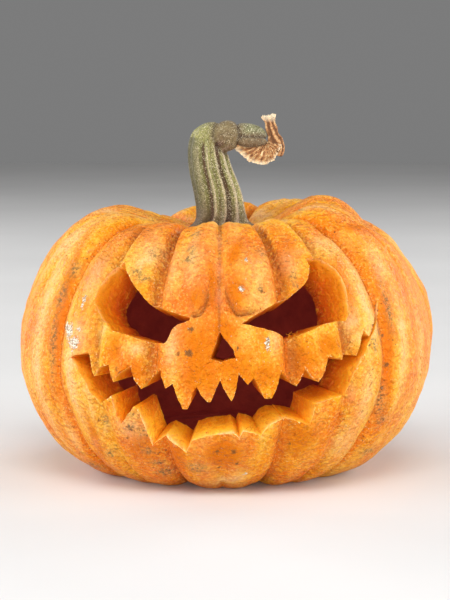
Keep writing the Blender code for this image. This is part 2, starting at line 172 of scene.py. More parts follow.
# creases where the inner rib swells over the outer one: number, side of the outer rib, amount
OVERLAPS = [(1, 1.0, 1.8), (2, 1.0, 1.6), (18, -1.0, 1.6), (19, -1.0, 1.8)]
OVERLAP_ALONG = [(0.10, 0.0), (0.22, 1.0), (0.48, 1.0), (0.62, 0.35), (1.0, 0.1)]
BROW_ALONG = [(0.0, 0.0), (0.14, 0.2), (0.24, 1.0), (0.42, 1.0), (0.50, 0.35), (1.0, 0.15)]
BAND_ALONG = [(0.0, 0.0), (0.26, 0.2), (0.34, 1.0)]
# how strong the painted shade line is down the ribs, in the creases and along the brow seam
LINE_ALONG = [(0.0, 0.1), (0.1, 0.5), (0.18, 1.0), (0.45, 0.9), (0.6, 0.35), (1.0, 0.5)]
SEAM_ALONG = [(0.08, 0.3), (0.2, 1.0), (0.42, 0.9), (0.52, 0.15)]
# fold lines round the lower ends of the two middle lobes, and whether the lobe is right of the walk
FOLDS = [
    ([(217, 250), (215.8, 261), (212.2, 272), (209, 281), (208.2, 288), (207.6, 295), (205, 303.5),
      (201.5, 309.7), (199, 312.8), (193, 314), (187, 312.8)], True),
    ([(219.8, 250), (220.6, 261), (222.8, 272), (224.6, 281), (225, 288), (227, 295), (230.5, 302),
      (234.4, 309), (239, 313.2), (245, 312.6), (251.7, 311.2), (262, 308.2)], False),
]

# Marks on the sheet: across, down, half width, half height
DENTS = [(260, 287, 2.2, 2.2), (136, 269, 2.5, 2.5)]
# corky scars
CORK = [
    (69, 330, 5.5, 7.5), (73, 341, 6, 5.5), (66.5, 326, 3.5, 4), (79, 328, 2, 2), (84, 298, 1.6, 4.5),
    (82, 305, 1.6, 2.5), (246.6, 258.5, 2.2, 2.0), (241.6, 287.5, 2.6, 3.0), (267.5, 341, 2.0, 4.6),
    (245, 472, 2.6, 1.8), (191, 465, 1.5, 1.5),
]
# grey-green or brownish weathered patches
STAINS = [
    (137, 270, 5, 4), (144, 276, 6, 4), (189, 257, 5, 5), (192, 248, 4, 5), (196, 232, 4, 4),
    (293, 275, 2.5, 5), (296, 284, 2.5, 5), (300, 208, 5, 2), (148, 449, 5, 4), (158, 461, 6, 4),
    (131, 425, 5, 4), (135, 414, 4, 3), (107, 418, 5, 4), (196, 466, 7, 6), (166, 470, 9, 6),
    (95, 464, 9, 5), (110, 452, 5, 4), (146, 430, 7, 5), (378.5, 331, 3.2, 8), (375, 343, 3.6, 6),
    (367, 450, 9, 4), (382, 418, 5, 4), (262, 251, 4, 4), (155, 252, 5, 5), (260, 287, 2, 2.5),
    (388, 305, 3, 20), (380, 400, 4, 14), (53, 345, 3, 30), (75, 268, 5, 7), (62, 295, 4, 12),
]
# reddish healed places
PINKS = [
    (218.5, 240, 3.2, 12), (219, 268, 3.0, 12), (219, 296, 3.4, 10), (96, 441, 3.5, 5), (78, 340, 4, 9),
    (80, 322, 5, 6), (194, 240, 4, 9), (300, 250, 6, 3), (352, 392, 4, 8),
]
# painted shade: places coloured deep orange where the side lights' sheen does not reach
PAINTED_SHADE_SPOTS = [
    (202, 350, 20, 26), (236, 364, 18, 18), (222, 330, 16, 12), (300, 358, 22, 14), (225, 452, 20, 16),
    (300, 440, 16, 18), (200, 378, 18, 14), (236, 378, 14, 12), (262, 374, 14, 12), (135, 228, 34, 7),
    (100, 262, 9, 18), (62, 300, 5, 60), (198, 295, 9, 13), (213, 284, 4, 26), (237, 290, 8, 20),
    (236, 250, 6, 16), (285, 262, 7, 24), (337, 282, 8, 22), (350, 300, 6, 24), (388, 340, 5, 60),
    (140, 440, 12, 20), (130, 372, 12, 10), (115, 345, 6, 14), (330, 345, 12, 10), (341, 338, 4.5, 16),
    (96, 440, 6, 26), (360, 225, 20, 6), (178, 455, 6, 18),
]
# painted highlight: places coloured pale peach for the sheen of the side lights
PAINTED_SHEEN_SPOTS = [
    (38, 345, 8, 70), (68, 240, 14, 16), (95, 275, 8, 20), (70, 380, 6, 34), (150, 250, 11, 16),
    (172, 270, 9, 26), (262, 280, 10, 26), (334, 243, 20, 12), (192, 262, 8, 16), (288, 262, 8, 10),
    (135, 347, 9, 6), (171, 346, 6, 24), (275, 337, 5, 12), (320, 240, 14, 8), (361, 285, 9, 34),
    (378, 262, 8, 20), (403, 340, 6, 50), (421, 345, 5, 50), (365, 400, 8, 30), (78, 335, 9, 14),
    (110, 210, 26, 5), (350, 320, 8, 14), (128, 425, 12, 12), (72, 430, 6, 30), (345, 440, 12, 16),
    (225, 478, 24, 6), (320, 205, 30, 5), (258, 213, 20, 8), (186, 221, 14, 6), (168, 336, 5, 22),
    (168, 262, 5, 34), (266, 285, 6, 26),
]
# single dark specks: across, down, radius
SPECKS = [
    (188.5, 351.5, 2.3), (189.5, 355.0, 1.2), (217, 450, 1.3), (233.8, 450, 1.7), (386.5, 363, 1.6),
    (382, 386, 1.2), (191, 328, 1.8), (238, 347, 1.1), (262, 290, 1.2), (178, 352, 1.0),
    (276, 397, 1.0), (289, 442, 0.9), (237, 462, 1.0), (219, 466, 1.0), (277, 441, 0.9),
    (131, 428, 1.2), (128, 437, 1.0), (99, 418, 1.3), (120, 372, 1.2), (115, 367, 1.2),
    (382, 334, 1.2), (370, 383, 1.1), (363, 409, 1.1), (339, 450, 1.0), (41, 352, 0.9),
    (376.0, 304, 0.9), (375.6, 309, 0.9), (375.0, 314, 0.9), (374.2, 319, 0.9), (373.2, 324, 0.9),
    (372.2, 328, 0.9), (371.6, 338, 0.8), (369.8, 344, 0.8),
]
SPECK_SPREAD = 1.35

# torn strands: across, down, depth in the wall (1 at the skin), lean, length in steps
STRANDS = [
    (289, 337.0, 0.985, (0.35, 1.0, -0.3), 8.0), (291.5, 336.2, 0.98, (-0.5, 1.0, -0.2), 6.0),
    (294, 335.6, 0.985, (0.6, 0.9, 0.0), 8.5), (297, 334.4, 0.985, (-0.8, 0.7, -0.3), 5.0),
    (247, 430.0, 0.97, (0.8, 0.9, 0.1), 9.0), (251, 430.5, 0.98, (0.5, 1.0, 0.3), 6.0),
    (253, 431.5, 0.96, (-0.3, 1.0, -0.2), 7.0), (256, 432.5, 0.97, (0.2, 1.0, 0.0), 4.5),
    (206, 434.6, 0.97, (-0.4, 1.0, 0.2), 3.5), (188, 449, 0.98, (0.6, 0.8, 0.0), 3.5),
    (268, 424.5, 0.97, (-0.6, 0.8, 0.0), 4.0), (104, 398.5, 0.99, (0.3, 1.0, -0.2), 2.5),
    (342, 277, 0.80, (-1.0, -0.3, 0.0), 4.0), (344.6, 283, 0.79, (-1.0, 0.2, 0.0), 3.5),
    (346, 288, 0.80, (-1.0, -0.2, 0.0), 4.5), (347, 294, 0.79, (-1.0, 0.1, 0.0), 3.0),
    (347.6, 301, 0.80, (-1.0, -0.4, 0.0), 3.5), (336, 268.5, 0.80, (-0.9, -0.5, 0.0), 3.0),
]
STRAND_RADIUS = 0.00028
STRAND_CURL = 0.0011
# how deep in the flesh a strand takes its colour from, near the rim and further in
STRAND_BELOW = (0.0075, 0.019)

# Stem: the middle line (x, y, z, radius, ridge height as a share of the radius)
STEM_LINE = [
    (0.001, 0.000, 0.1700, 0.0270, 0.26), (0.001, 0.000, 0.1790, 0.0222, 0.26),
    (0.001, 0.000, 0.1845, 0.0178, 0.22), (0.000, 0.000, 0.1920, 0.0162, 0.16),
    (-0.002, 0.000, 0.2040, 0.0160, 0.13), (-0.0045, 0.000, 0.2130, 0.0155, 0.12),
    (-0.007, 0.000, 0.2210, 0.0147, 0.12), (-0.009, 0.000, 0.2300, 0.0137, 0.12),
    (-0.010, 0.000, 0.2385, 0.0127, 0.12), (-0.0095, 0.000, 0.2470, 0.0115, 0.10),
    (-0.0085, -0.001, 0.2520, 0.0093, 0.08), (-0.007, -0.001, 0.2555, 0.0055, 0.06),
    (-0.006, -0.001, 0.2570, 0.0020, 0.06),
]
STEM_TWIST = 38.0
TWIST_MIDDLE = 0.45
# ridges and grooves round the shaft: azimuth, and height from -1 to 1
STEM_RING = [
    (3, -0.55), (16, 0.85), (27, -1.9), (45, 1.0), (62, -0.5), (76, 0.9), (104, -0.9), (130, 0.9),
    (151, -0.9), (173, 0.9), (196, -0.9), (220, 0.9), (242, -0.8), (262, 0.9), (284, -0.3), (305, 0.9),
    (322, 0.9), (340, -1.2), (351, 0.8),
]
SHAFT_TOP = 0.246
SEAM_DEPTH = 0.0007
VOXEL, QUICK_VOXEL = 0.0006, 0.001
# swellings at the bend: middle, half sizes, tilt
KNUCKLE = ((0.0045, -0.004, 0.2470), (0.0105, 0.0110, 0.0112), math.radians(12.0))
ELBOW = ((0.0197, -0.003, 0.2488), (0.0138, 0.0085, 0.0072), math.radians(9.0))
ELBOW_LOBE = ((0.0205, -0.0065, 0.2435), (0.0128, 0.0062, 0.0048), math.radians(2.0))
# papery end: its root, and its reach against the angle round the root
FAN_ROOT = (0.0330, -0.003, 0.2430)
FAN_EDGE = [
    (176, 0.0290), (184, 0.0285), (194, 0.0235), (200, 0.0218), (209, 0.0205), (219, 0.0195),
    (228, 0.0195), (239, 0.0180), (249, 0.0175), (259, 0.0170), (269, 0.0168), (280, 0.0150),
    (291, 0.0150), (303, 0.0128), (317, 0.0118), (332, 0.0112), (348, 0.0110),
]
FAN_TURNS = 260
FAN_ROWS = 26
# strip with the torn tip: middle line (x, y, z) and half width
STRIP_LINE = [
    (0.0395, -0.004, 0.2330, 0.0035), (0.0415, -0.004, 0.2390, 0.0045), (0.0385, -0.003, 0.2450, 0.0046),
    (0.0365, -0.002, 0.2515, 0.0036), (0.0355, -0.001, 0.2570, 0.0036), (0.0345, 0.000, 0.2620, 0.0046),
]
STRIP_STEPS = 60
STRIP_AROUND = 40

# Mesh density (columns in each rib, rows), and what counts as skin, cut wall and hollow wall
COLUMNS = [40, 24, 24, 18] + [10] * 12 + [18, 24, 24, 40]
ROWS = 190
CLOSE_ROWS = (0.365, 0.475)
SKIN_DEPTH = 0.0003
CUT_DEPTH = 0.0006
HOLLOW_DEPTH = 0.0004
SHARP_EDGE = math.radians(32.0)
SKIN, FLESH, HOLLOW = range(3)


# Helpers for tables, lines and meshes
def ramp(rows, x):
    """Straight-line table lookup for an array."""
    return np.interp(x, [row[0] for row in rows], [row[1] for row in rows])


def round_ramp(rows, degrees):
    """Eased lookup round the compass for an array."""
    ring = [(rows[-1][0] - 360.0, rows[-1][1])] + list(rows) + [(rows[0][0] + 360.0, rows[0][1])]
    at = np.array([row[0] for row in ring], float)
    value = np.array([row[1] for row in ring], float)
    q = np.mod(degrees, 360.0)
    k = np.clip(np.searchsorted(at, q, side="left") - 1, 0, len(at) - 2)
    s = (q - at[k]) / (at[k + 1] - at[k])
    return value[k] + (value[k + 1] - value[k]) * s * s * (3.0 - 2.0 * s)


def bell(x, width):
    """1 where x is 0, falling off over the width on both sides."""
    return np.exp(-(x / width) ** 2)


def rise(x, start, over):
    """0 up to the start, 1 beyond the rise, straight between."""
    return np.clip((x - start) / over, 0.0, 1.0)


def side_angle(degrees, middle):
    """Degrees from a direction, negative on its left."""
    return np.mod(degrees - middle + 180.0, 360.0) - 180.0


def along_skin(degrees, middle):
    """Distance along the skin from a direction, in metres."""
    return np.radians(side_angle(degrees, middle)) * MEAN_RADIUS


def ribway(degrees, t, tall):
    """Places on a drum that is low for its width, so that noise there runs down the ribs."""
    a = np.radians(degrees)
    return np.stack([np.sin(a) * WAIST_RADIUS, -np.cos(a) * WAIST_RADIUS, t * tall], axis=1)


def smooth_line(points, steps):
    """Catmull-Rom line through points of any dimension."""
    p = np.array(points, float)
    ends = np.vstack([p[:1], p, p[-1:]])
    out = []
    for k in range(len(p) - 1):
        a, b, c, d = ends[k:k + 4]
        for s in np.arange(steps) / steps:
            out.append(b + 0.5 * s * (c - a + s * (2 * a - 5 * b + 4 * c - d + s * (3 * (b - c) + d - a))))
    out.append(p[-1])
    return np.array(out)


def by_length(line, count):
    """The same line with points at even distances."""
    reach = np.concatenate([[0.0], np.cumsum(np.linalg.norm(np.diff(line, axis=0), axis=1))])
    want = np.linspace(0.0, reach[-1], count + 1)
    return np.stack([np.interp(want, reach, line[:, k]) for k in range(line.shape[1])], axis=1)


def fbm(points, scale, octaves, seed):
    """Layered noise at many points."""
    shift = Vector((seed * 3.17, seed * 1.31, seed * 7.7))
    return np.array([noise.fractal(Vector(p) * scale + shift, 1.0, 2.0, octaves) for p in points])


def new_object(name, verts, faces):
    """Object with a mesh of its own, linked to the scene."""
    mesh = bpy.data.meshes.new(name)
    mesh.from_pydata([tuple(v) for v in verts], [], faces)
    mesh.update()
    obj = bpy.data.objects.new(name, mesh)
    bpy.context.scene.collection.objects.link(obj)
    return obj


def ring_faces(rows, around):
    """Quads between the rings of a tube; the rings' points are numbered one after another."""
    faces = []
    for k in range(rows - 1):
        for j in range(around):
            i = (j + 1) % around
            faces.append((k * around + j, k * around + i, (k + 1) * around + i, (k + 1) * around + j))
    return faces


def tube(name, rings, ends):
    """Closed tube through rings of points that run round by azimuth, with a point at each end."""
    rows, around = len(rings), len(rings[0])
    first, last = rows * around, rows * around + 1
    faces = ring_faces(rows, around)
    for j in range(around):
        i = (j + 1) % around
        faces.append((first, i, j))
        faces.append((last, (rows - 1) * around + j, (rows - 1) * around + i))
    verts = np.vstack([np.reshape(rings, (-1, 3)), ends])
    return new_object(name, verts, [face[::-1] for face in faces])


def face_outward(obj):
    """Turns all faces outward."""
    bm = bmesh.new()
    bm.from_mesh(obj.data)
    bmesh.ops.recalc_face_normals(bm, faces=bm.faces)
    bm.to_mesh(obj.data)
    bm.free()


def tree_of(obj):
    """Search tree of an object's faces."""
    bm = bmesh.new()
    bm.from_mesh(obj.data)
    tree = BVHTree.FromBMesh(bm)
    bm.free()
    return tree


def join(pieces, into):
    bpy.ops.object.select_all(action="DESELECT")
    for piece in [*pieces, into]:
        piece.select_set(True)
    bpy.context.view_layer.objects.active = into
    bpy.ops.object.join()


def apply_modifiers(obj):
    """Bakes the modifiers into a new mesh."""
    graph = bpy.context.evaluated_depsgraph_get()
    baked = obj.evaluated_get(graph)
    mesh = bpy.data.meshes.new_from_object(baked, preserve_all_data_layers=False, depsgraph=graph)
    obj.modifiers.clear()
    old = obj.data
    obj.data = mesh
    bpy.data.meshes.remove(old)
    return mesh


def set_attribute(mesh, name, values, kind="FLOAT"):
    layer = mesh.attributes.new(name, kind, "POINT")
    field = "value" if kind == "FLOAT" else "vector"
    layer.data.foreach_set(field, np.asarray(values, np.float32).ravel())


def mesh_points(mesh):
    co = np.empty(len(mesh.vertices) * 3, np.float64)
    mesh.vertices.foreach_get("co", co)
    return co.reshape(-1, 3)


# The ribbed form
SECTION_STEPS = 600
SECTION_LINE = by_length(smooth_line(SECTION, 24), SECTION_STEPS)
SECTION_T = np.linspace(0.0, 1.0, SECTION_STEPS + 1)
SLOPE_SPAN = 4


def section(t):
    """Radius and height, and the outward normal's two parts, at fractions of the way down."""
    after = np.vstack([SECTION_LINE[SLOPE_SPAN:], np.repeat(SECTION_LINE[-1:], SLOPE_SPAN, 0)])
    before = np.vstack([np.repeat(SECTION_LINE[:1], SLOPE_SPAN, 0), SECTION_LINE[:-SLOPE_SPAN]])
    slope = after - before
    slope /= np.linalg.norm(slope, axis=1)[:, None]
    columns = (SECTION_LINE[:, 0], SECTION_LINE[:, 1], -slope[:, 1], slope[:, 0])
    return [np.interp(t, SECTION_T, column) for column in columns]


def crease_fall(s):
    """How far a crease pulls the skin in, from 1 at the crease to 0 a rib's width away."""
    s = np.minimum(np.hypot(s, CREASE_SOFTNESS), 1.0)
    return 1.0 - np.sqrt(1.0 - (1.0 - s) ** 2)


def skin(rib, s, t, inset_rows, crease):
    """Points, azimuth, crease closeness and crease line for arrays of rib, s across it and t down it."""
    at = np.array([[c[k] for c in CREASES] + [CREASES[0][k] + 360.0] for k in range(3)], float)
    depth = np.array([c[3] for c in CREASES] + [CREASES[0][3]])
    down = np.interp(t, CREASE_HEIGHTS, [0.0, 1.0, 2.0])
    low = np.minimum(down.astype(int), 1)
    part = down - low
    a0 = at[low, rib] * (1 - part) + at[low + 1, rib] * part
    a1 = at[low, rib + 1] * (1 - part) + at[low + 1, rib + 1] * part
    degrees = a0 + (a1 - a0) * s
    r, z, nr, nz = section(t)
    drop = depth[rib] * crease_fall(s) + depth[rib + 1] * crease_fall(1.0 - s)
    inset = ramp(inset_rows, t)
    out = -inset - crease * ramp(CREASE_ALONG, t) * drop
    out = out + round_ramp(SHOULDER_LIFT, degrees) * ramp(LIFT_ALONG, t)
    out = out + round_ramp(SHOULDER_SLOPE, degrees) * ramp(SLOPE_ALONG, t)
    reach = round_ramp(WAIST_REACH, degrees) * np.minimum(r / WAIST_RADIUS, 1.0)
    rr = np.maximum(r + nr * out + reach, 0.0)
    a = np.radians(degrees)
    zz = np.maximum(z + nz * out, REST + inset) - REST
    points = np.stack([rr * np.sin(a), -rr * np.cos(a), zz], axis=-1)
    close = np.clip(drop / DEEPEST_CREASE, 0.0, 1.0)
    span = np.radians(a1 - a0) * np.maximum(rr, 0.02)
    lined = np.minimum(depth / LINED_CREASE, 1.0)
    line0 = lined[rib] * bell(span * s, CREASE_LINE)
    line1 = lined[rib + 1] * bell(span * (1.0 - s), CREASE_LINE)
    return points, degrees, close, np.maximum(line0, line1)


def ribbed(per_rib, heights, inset_rows, crease):
    """Points of the ribbed form, with azimuth, height fraction, crease closeness and crease line."""
    rib = np.concatenate([np.full(n, k) for k, n in enumerate(per_rib)])
    part = np.concatenate([np.arange(n) / n for n in per_rib])
    # columns are closer together near the creases
    s = 0.6 * (0.5 - 0.5 * np.cos(np.pi * part)) + 0.4 * part
    rib_grid, t = np.meshgrid(rib, heights)
    s_grid = np.meshgrid(s, heights)[0]
    points, degrees, close, line = skin(rib_grid, s_grid, t, inset_rows, crease)
    return points, degrees, t, close, line


def even_rows(count):
    return np.arange(1, count) / count


def close_rows():
    """Height fractions with tighter rows where the folds are."""
    t = np.linspace(0.0, 1.0, 2001)
    folds = (t > CLOSE_ROWS[0]) & (t < CLOSE_ROWS[1])
    density = 1.0 + 1.4 * folds - 0.35 * (t > 0.86) - 0.2 * (t < 0.12)
    reach = np.concatenate([[0.0], np.cumsum(0.5 * (density[1:] + density[:-1]) * np.diff(t))])
    count = int(ROWS * reach[-1])
    return np.interp(np.linspace(0.0, reach[-1], count + 1), reach, t)[1:-1]


def normals_of(points):
    """Outward normals of a grid of points that closes round the pumpkin."""
    across = np.roll(points, -1, 1) - np.roll(points, 1, 1)
    down = np.gradient(points, axis=0)
    normal = np.cross(across, down)
    normal /= np.linalg.norm(normal, axis=2)[..., None] + 1e-12
    mid = len(points) // 2
    if (normal[mid, 0] * (points[mid, 0] * np.array([1.0, 1.0, 0.0]))).sum() < 0:
        normal = -normal
    return normal


def closed_body(name, points, inset_rows, crease):
    """The grid of points closed with a point at the top and one at the bottom."""
    rib, across = np.array([0]), np.array([0.0])
    ends = [skin(rib, across, np.array([end]), inset_rows, crease)[0][0] for end in (0.0, 1.0)]
    return tube(name, points, ends)


# Marks on the sheet, carried to the skin
def on_skin(tree, across, down):
    """Where the line of sight through a mark on the sheet meets the skin, and the skin's normal."""
    mark = MIDDLE + Vector((across - SHEET_AXIS[0], 0.0, 0.0)) * SHEET_STEP
    mark += SIGHT_UP * (SHEET_AXIS[1] - down) * SHEET_STEP
    return tree.ray_cast(EYE, (mark - EYE).normalized())[:2]


def spot_mask(points, spots, tree):
    """Rounded masks at listed marks (across, down, half width, half height)."""
    mask = np.zeros(len(points))
    for across, down, wide, tall in spots:
        hit, normal = on_skin(tree, across, down)
        delta = points - np.array(hit)
        aside = delta @ np.array(normal.cross(UPRIGHT).normalized())
        rest = np.maximum(np.linalg.norm(delta, axis=1) ** 2 - aside ** 2, 0.0)
        away = (aside / wide) ** 2 + rest / tall ** 2
        mask = np.maximum(mask, np.exp(-0.7 * away / SHEET_STEP ** 2))
    return mask


def line_distance(points, line):
    """Distance to a line, the nearest part's direction, the offset from it and how far along it is."""
    best = np.full(len(points), 1e9)
    along = np.zeros((len(points), 3))
    offset = np.zeros((len(points), 3))
    fade = np.zeros(len(points))
    total = len(line) - 1
    for k in range(total):
        a, b = line[k], line[k + 1]
        ab = b - a
        part = np.clip(((points - a) @ ab) / (ab @ ab), 0.0, 1.0)
        delta = points - (a + part[:, None] * ab)
        d = np.linalg.norm(delta, axis=1)
        closer = d < best
        best[closer] = d[closer]
        along[closer] = ab / np.linalg.norm(ab)
        offset[closer] = delta[closer]
        fade[closer] = (k + part[closer]) / total
    return best, along, offset, fade


# Fine form of the skin
def overlap(degrees, down, number, side):
    """Where an inner rib swells over an outer one: the step there, and the shade on the outer rib."""
    x = along_skin(degrees, np.interp(down, CREASE_HEIGHTS, CREASES[number][:3])) * side
    held = ramp(OVERLAP_ALONG, down)
    step = np.where(x < 0.0, bell(x + 0.005, 0.0048), -bell(x - 0.004, 0.0055))
    shade = bell(x - 0.0022, np.where(x < 0.0022, 0.0015, 0.0070))
    return step * held, shade * held


def brow_band(degrees, down):
    """The low band down the brow, with soft edges, that the two middle lobes swell either side of."""
    x = along_skin(degrees, BROW_SEAM)
    low = ramp(BAND_ALONG, down)
    edges = BAND_EDGES * bell(np.abs(x) - 0.0026, 0.0011) - BAND_GROOVE * bell(x, 0.0050)
    return ramp(BROW_ALONG, down) * (low * edges - BAND_DEPTH * bell(x, 0.0125))


def fold(points, normals, line, lobe_right):
    """Height, painted shadow line and painted shade of a fold round the lower end of a middle lobe."""
    dist, along, offset, fade = line_distance(points, line)
    side = np.einsum("ij,ij->i", np.cross(normals, along), offset)
    lobe = (side < 0) == lobe_right
    tail = rise(1.0 - fade, 0.0, 0.10)
    swell = rise(fade, 0.0, 0.40) ** 1.3 * tail
    groove = rise(fade, 0.22, 0.25) * tail
    on_lobe = LOBE_SWELL * (1.0 - np.exp(-dist / 0.0022)) * bell(dist, 0.0120)
    height = swell * np.where(lobe, on_lobe, -BESIDE_LOBE * bell(dist, 0.0060))
    height -= FOLD_GROOVE * groove * bell(dist, 0.0011)
    shade = 0.50 * groove * bell(dist, np.where(lobe, 0.0030, 0.0016))
    return height, 0.95 * groove * bell(dist, 0.0008), shade


def skin_relief(points, normals, degrees, t, close, tree):
    """Height of the fine form over the plain ribbed form, its painted shade lines and its painted shades."""
    flat, out = points.reshape(-1, 3), normals.reshape(-1, 3)
    turn, down = degrees.ravel(), t.ravel()
    height = 0.0011 * fbm(flat, 26.0, 2, 1) + 0.0004 * fbm(flat, 110.0, 2, 2)
    height += 0.0010 * fbm(ribway(turn, down, 0.05), 80.0, 3, 3) - CREASE_DEEPER * close.ravel() ** 4
    dark, dip_shade = np.zeros(len(flat)), np.zeros(len(flat))
    for number, side, amount in OVERLAPS:
        step, shade = overlap(turn, down, number, side)
        height += OVERLAP_STEP * amount * step
        dip_shade = np.maximum(dip_shade, shade)
    height += brow_band(turn, down)
    # the folds reach no further than the middle of the front
    front = (flat[:, 1] < -0.08) & (np.abs(flat[:, 0]) < 0.06)
    for marks, lobe_right in FOLDS:
        line = smooth_line([tuple(on_skin(tree, *mark)[0]) for mark in marks], 4)
        more, fold_shade_line, shade = fold(flat[front], out[front], line, lobe_right)
        height[front] += more
        dark[front] = np.maximum(dark[front], fold_shade_line)
        dip_shade[front] = np.maximum(dip_shade[front], shade)
    height += CORK_RAISED * spot_mask(flat, CORK, tree) - DENT_DEPTH * spot_mask(flat, DENTS, tree)
    # where the ribs rest on the ground the skin stays plain
    height *= rise(flat[:, 2], 0.001, 0.004)
    return height.reshape(t.shape), dark.reshape(t.shape), dip_shade.reshape(t.shape)


# The pumpkin's solids and cuts
def face_cut(name, drawing, pitch, roughness, seed, aside, tree):
    """Tapering cut with a worked wall, toward a point inside the hollow."""
    middle = CUT_POINT + Vector((aside, 0.0, 0.0))
    marks = []
    for a, b in zip(drawing, drawing[1:] + drawing[:1]):
        steps = max(1, int(round(math.dist(a, b) * SHEET_STEP / pitch)))
        for k in range(steps):
            x, y = a[0] + (b[0] - a[0]) * k / steps, a[1] + (b[1] - a[1]) * k / steps
            shake = Vector((x * 0.35, y * 0.35, seed * 3.3))
            other = shake + Vector((9.0, 4.0, 0.0))
            marks.append((x + 0.45 * noise.noise(shake), y + 0.45 * noise.noise(other)))
    rays = np.array([tuple(on_skin(tree, *mark)[0] - middle) for mark in marks])
    tangent = np.roll(rays, -1, 0) - np.roll(rays, 1, 0)
    side = np.cross(tangent, rays)
    side /= np.linalg.norm(side, axis=1)[:, None] + 1e-12
    base = np.array(middle)
    rows = [base + rays * (CUT_NEAR / -rays[:, 1])[:, None]]
    length = np.linalg.norm(rays, axis=1)
    for scale in CUT_ROWS:
        row = base + rays * scale
        # tool marks run with the blade, from the skin toward the point
        flow = [rays[:, 0] / length, rays[:, 2] / length, np.full(len(rays), scale * 0.12)]
        wave = 0.6 * fbm(np.stack(flow, axis=1), 26.0, 2, seed) + 0.4 * fbm(row, 140.0, 2, seed + 5)
        rows.append(row + side * (roughness * wave)[:, None])
    rows.append(base + rays * (CUT_FAR / -rays[:, 1])[:, None])
    around = len(marks)
    faces = ring_faces(len(rows), around)
    faces.append(tuple(range(around))[::-1])
    faces.append(tuple(range((len(rows) - 1) * around, len(rows) * around)))
    obj = new_object(name, np.vstack(rows), faces)
    face_outward(obj)
    return obj


def strand(tree, across, down, scale, lean, length, seed):
    """Thin torn strand rooted in a cut wall."""
    root = CUT_POINT + (on_skin(tree, across, down)[0] - CUT_POINT) * scale
    toward = Vector((lean[0], lean[2], lean[1])).normalized() * length * SHEET_STEP
    marks = [root - toward * 0.25]
    for k in range(5):
        curl = Vector([noise.noise(Vector((seed, k * 0.7, shift))) for shift in (1.0, 5.0, 9.0)])
        marks.append(root + toward * k / 4.0 + curl * STRAND_CURL * min(k, 2))
    line = smooth_line([tuple(mark) for mark in marks], 3)
    rings = []
    for k, p in enumerate(line):
        ahead = Vector(line[min(k + 1, len(line) - 1)] - line[max(k - 1, 0)]).normalized()
        side = ahead.cross(Vector((0.3, 0.9, 0.2))).normalized()
        other = ahead.cross(side)
        radius = STRAND_RADIUS * (1.0 - 0.7 * k / len(line))
        turns = [j * math.tau / 5 for j in range(5)]
        rings.append([Vector(p) + (side * math.cos(a) + other * math.sin(a)) * radius for a in turns])
    made = tube("strand", rings, [line[0], line[-1]])
    below = STRAND_BELOW[0] if scale > 0.9 else STRAND_BELOW[1]
    set_attribute(made.data, "below", np.full(len(made.data.vertices), below))
    return made


def outer_skin():
    """The uneven outer skin, and rows of its points' azimuth, height, closeness, painted shade line in the
    creases, painted shadow line at the folds, and painted shade.
    """
    plain = closed_body("plain", ribbed([8] * len(CREASES), even_rows(90), FLUSH, 1.0)[0], FLUSH, 1.0)
    plain_tree = tree_of(plain)
    bpy.data.objects.remove(plain)
    columns = COLUMNS
    points, degrees, t, close, line = ribbed(columns, close_rows(), FLUSH, 1.0)
    normals = normals_of(points)
    relief, dark, dip_shade = skin_relief(points, normals, degrees, t, close, plain_tree)
    points = points + normals * relief[..., None]
    points[..., 2] = np.maximum(points[..., 2], 0.0)
    body = closed_body("pumpkin_body", points, FLUSH, 1.0)
    known = ((degrees, 0.0, 0.0), (t, 0.0, 1.0), (close, 0.2, 0.2), (line, 0.0, 0.0), (dark, 0.0, 0.0),
             (dip_shade, 0.0, 0.0))
    return body, np.stack([np.append(grid.ravel(), [top, bottom]) for grid, top, bottom in known])


def hollow_body():
    """What is scooped out: the outer form set in, with softer creases and scraped walls."""
    points = ribbed([6] * len(CREASES), even_rows(64), WALL_ALONG, CAVITY_CREASE)[0]
    scraped = 0.0012 * fbm(points.reshape(-1, 3), 160.0, 3, 9)
    points = points + normals_of(points) * scraped.reshape(points.shape[:2])[..., None]
    return closed_body("hollow", points, WALL_ALONG, CAVITY_CREASE)


def carve(body, tools):
    """Takes the tools out of the body."""
    for tool in tools:
        step = body.modifiers.new(tool.name, "BOOLEAN")
        step.operation = "DIFFERENCE"
        step.solver = "MANIFOLD"
        step.object = tool
    mesh = apply_modifiers(body)
    for tool in tools:
        bpy.data.objects.remove(tool)
    return mesh


def crease_shade_line(degrees, t, line):
    """Strength of the painted shade line at the bottom of a crease; the one down the brow seam is stronger.
    """
    others = ramp(LINE_ALONG, t) * np.maximum(0.40 * line, 0.85 * line ** 3)
    seam = ramp(SEAM_ALONG, t) * np.minimum(2.5 * line, 1.0) ** 3
    return np.where(np.abs(side_angle(degrees, BROW_SEAM)) < 3.0, seam, others)


def beside(mesh, chosen):
    """Points that share an edge with a chosen point."""
    ends = np.empty(len(mesh.edges) * 2, int)
    mesh.edges.foreach_get("vertices", ends)
    u, v = ends.reshape(-1, 2).T
    found = np.zeros(len(chosen), bool)
    found[v[chosen[u]]] = True
    found[u[chosen[v]]] = True
    return found


def set_materials(mesh, depth, inner):
    """Skin outside, hollow wall inside, flesh where a cut passes through, with crisp edges between."""
    mesh.materials.clear()
    for mat in (skin_material(), flesh_material(), hollow_material()):
        mesh.materials.append(mat)
    for face in mesh.polygons:
        corners = list(face.vertices)
        if depth[corners].max() < SKIN_DEPTH:
            face.material_index = SKIN
        elif inner[corners].max() < HOLLOW_DEPTH:
            face.material_index = HOLLOW
        else:
            face.material_index = FLESH
    mesh.shade_smooth()
    bm = bmesh.new()
    bm.from_mesh(mesh)
    for edge in bm.edges:
        if len(edge.link_faces) == 2:
            one, two = (face.material_index for face in edge.link_faces)
            if one != two or (one == FLESH and edge.calc_face_angle(0.0) > SHARP_EDGE):
                edge.smooth = False
    bm.to_mesh(mesh)
    bm.free()


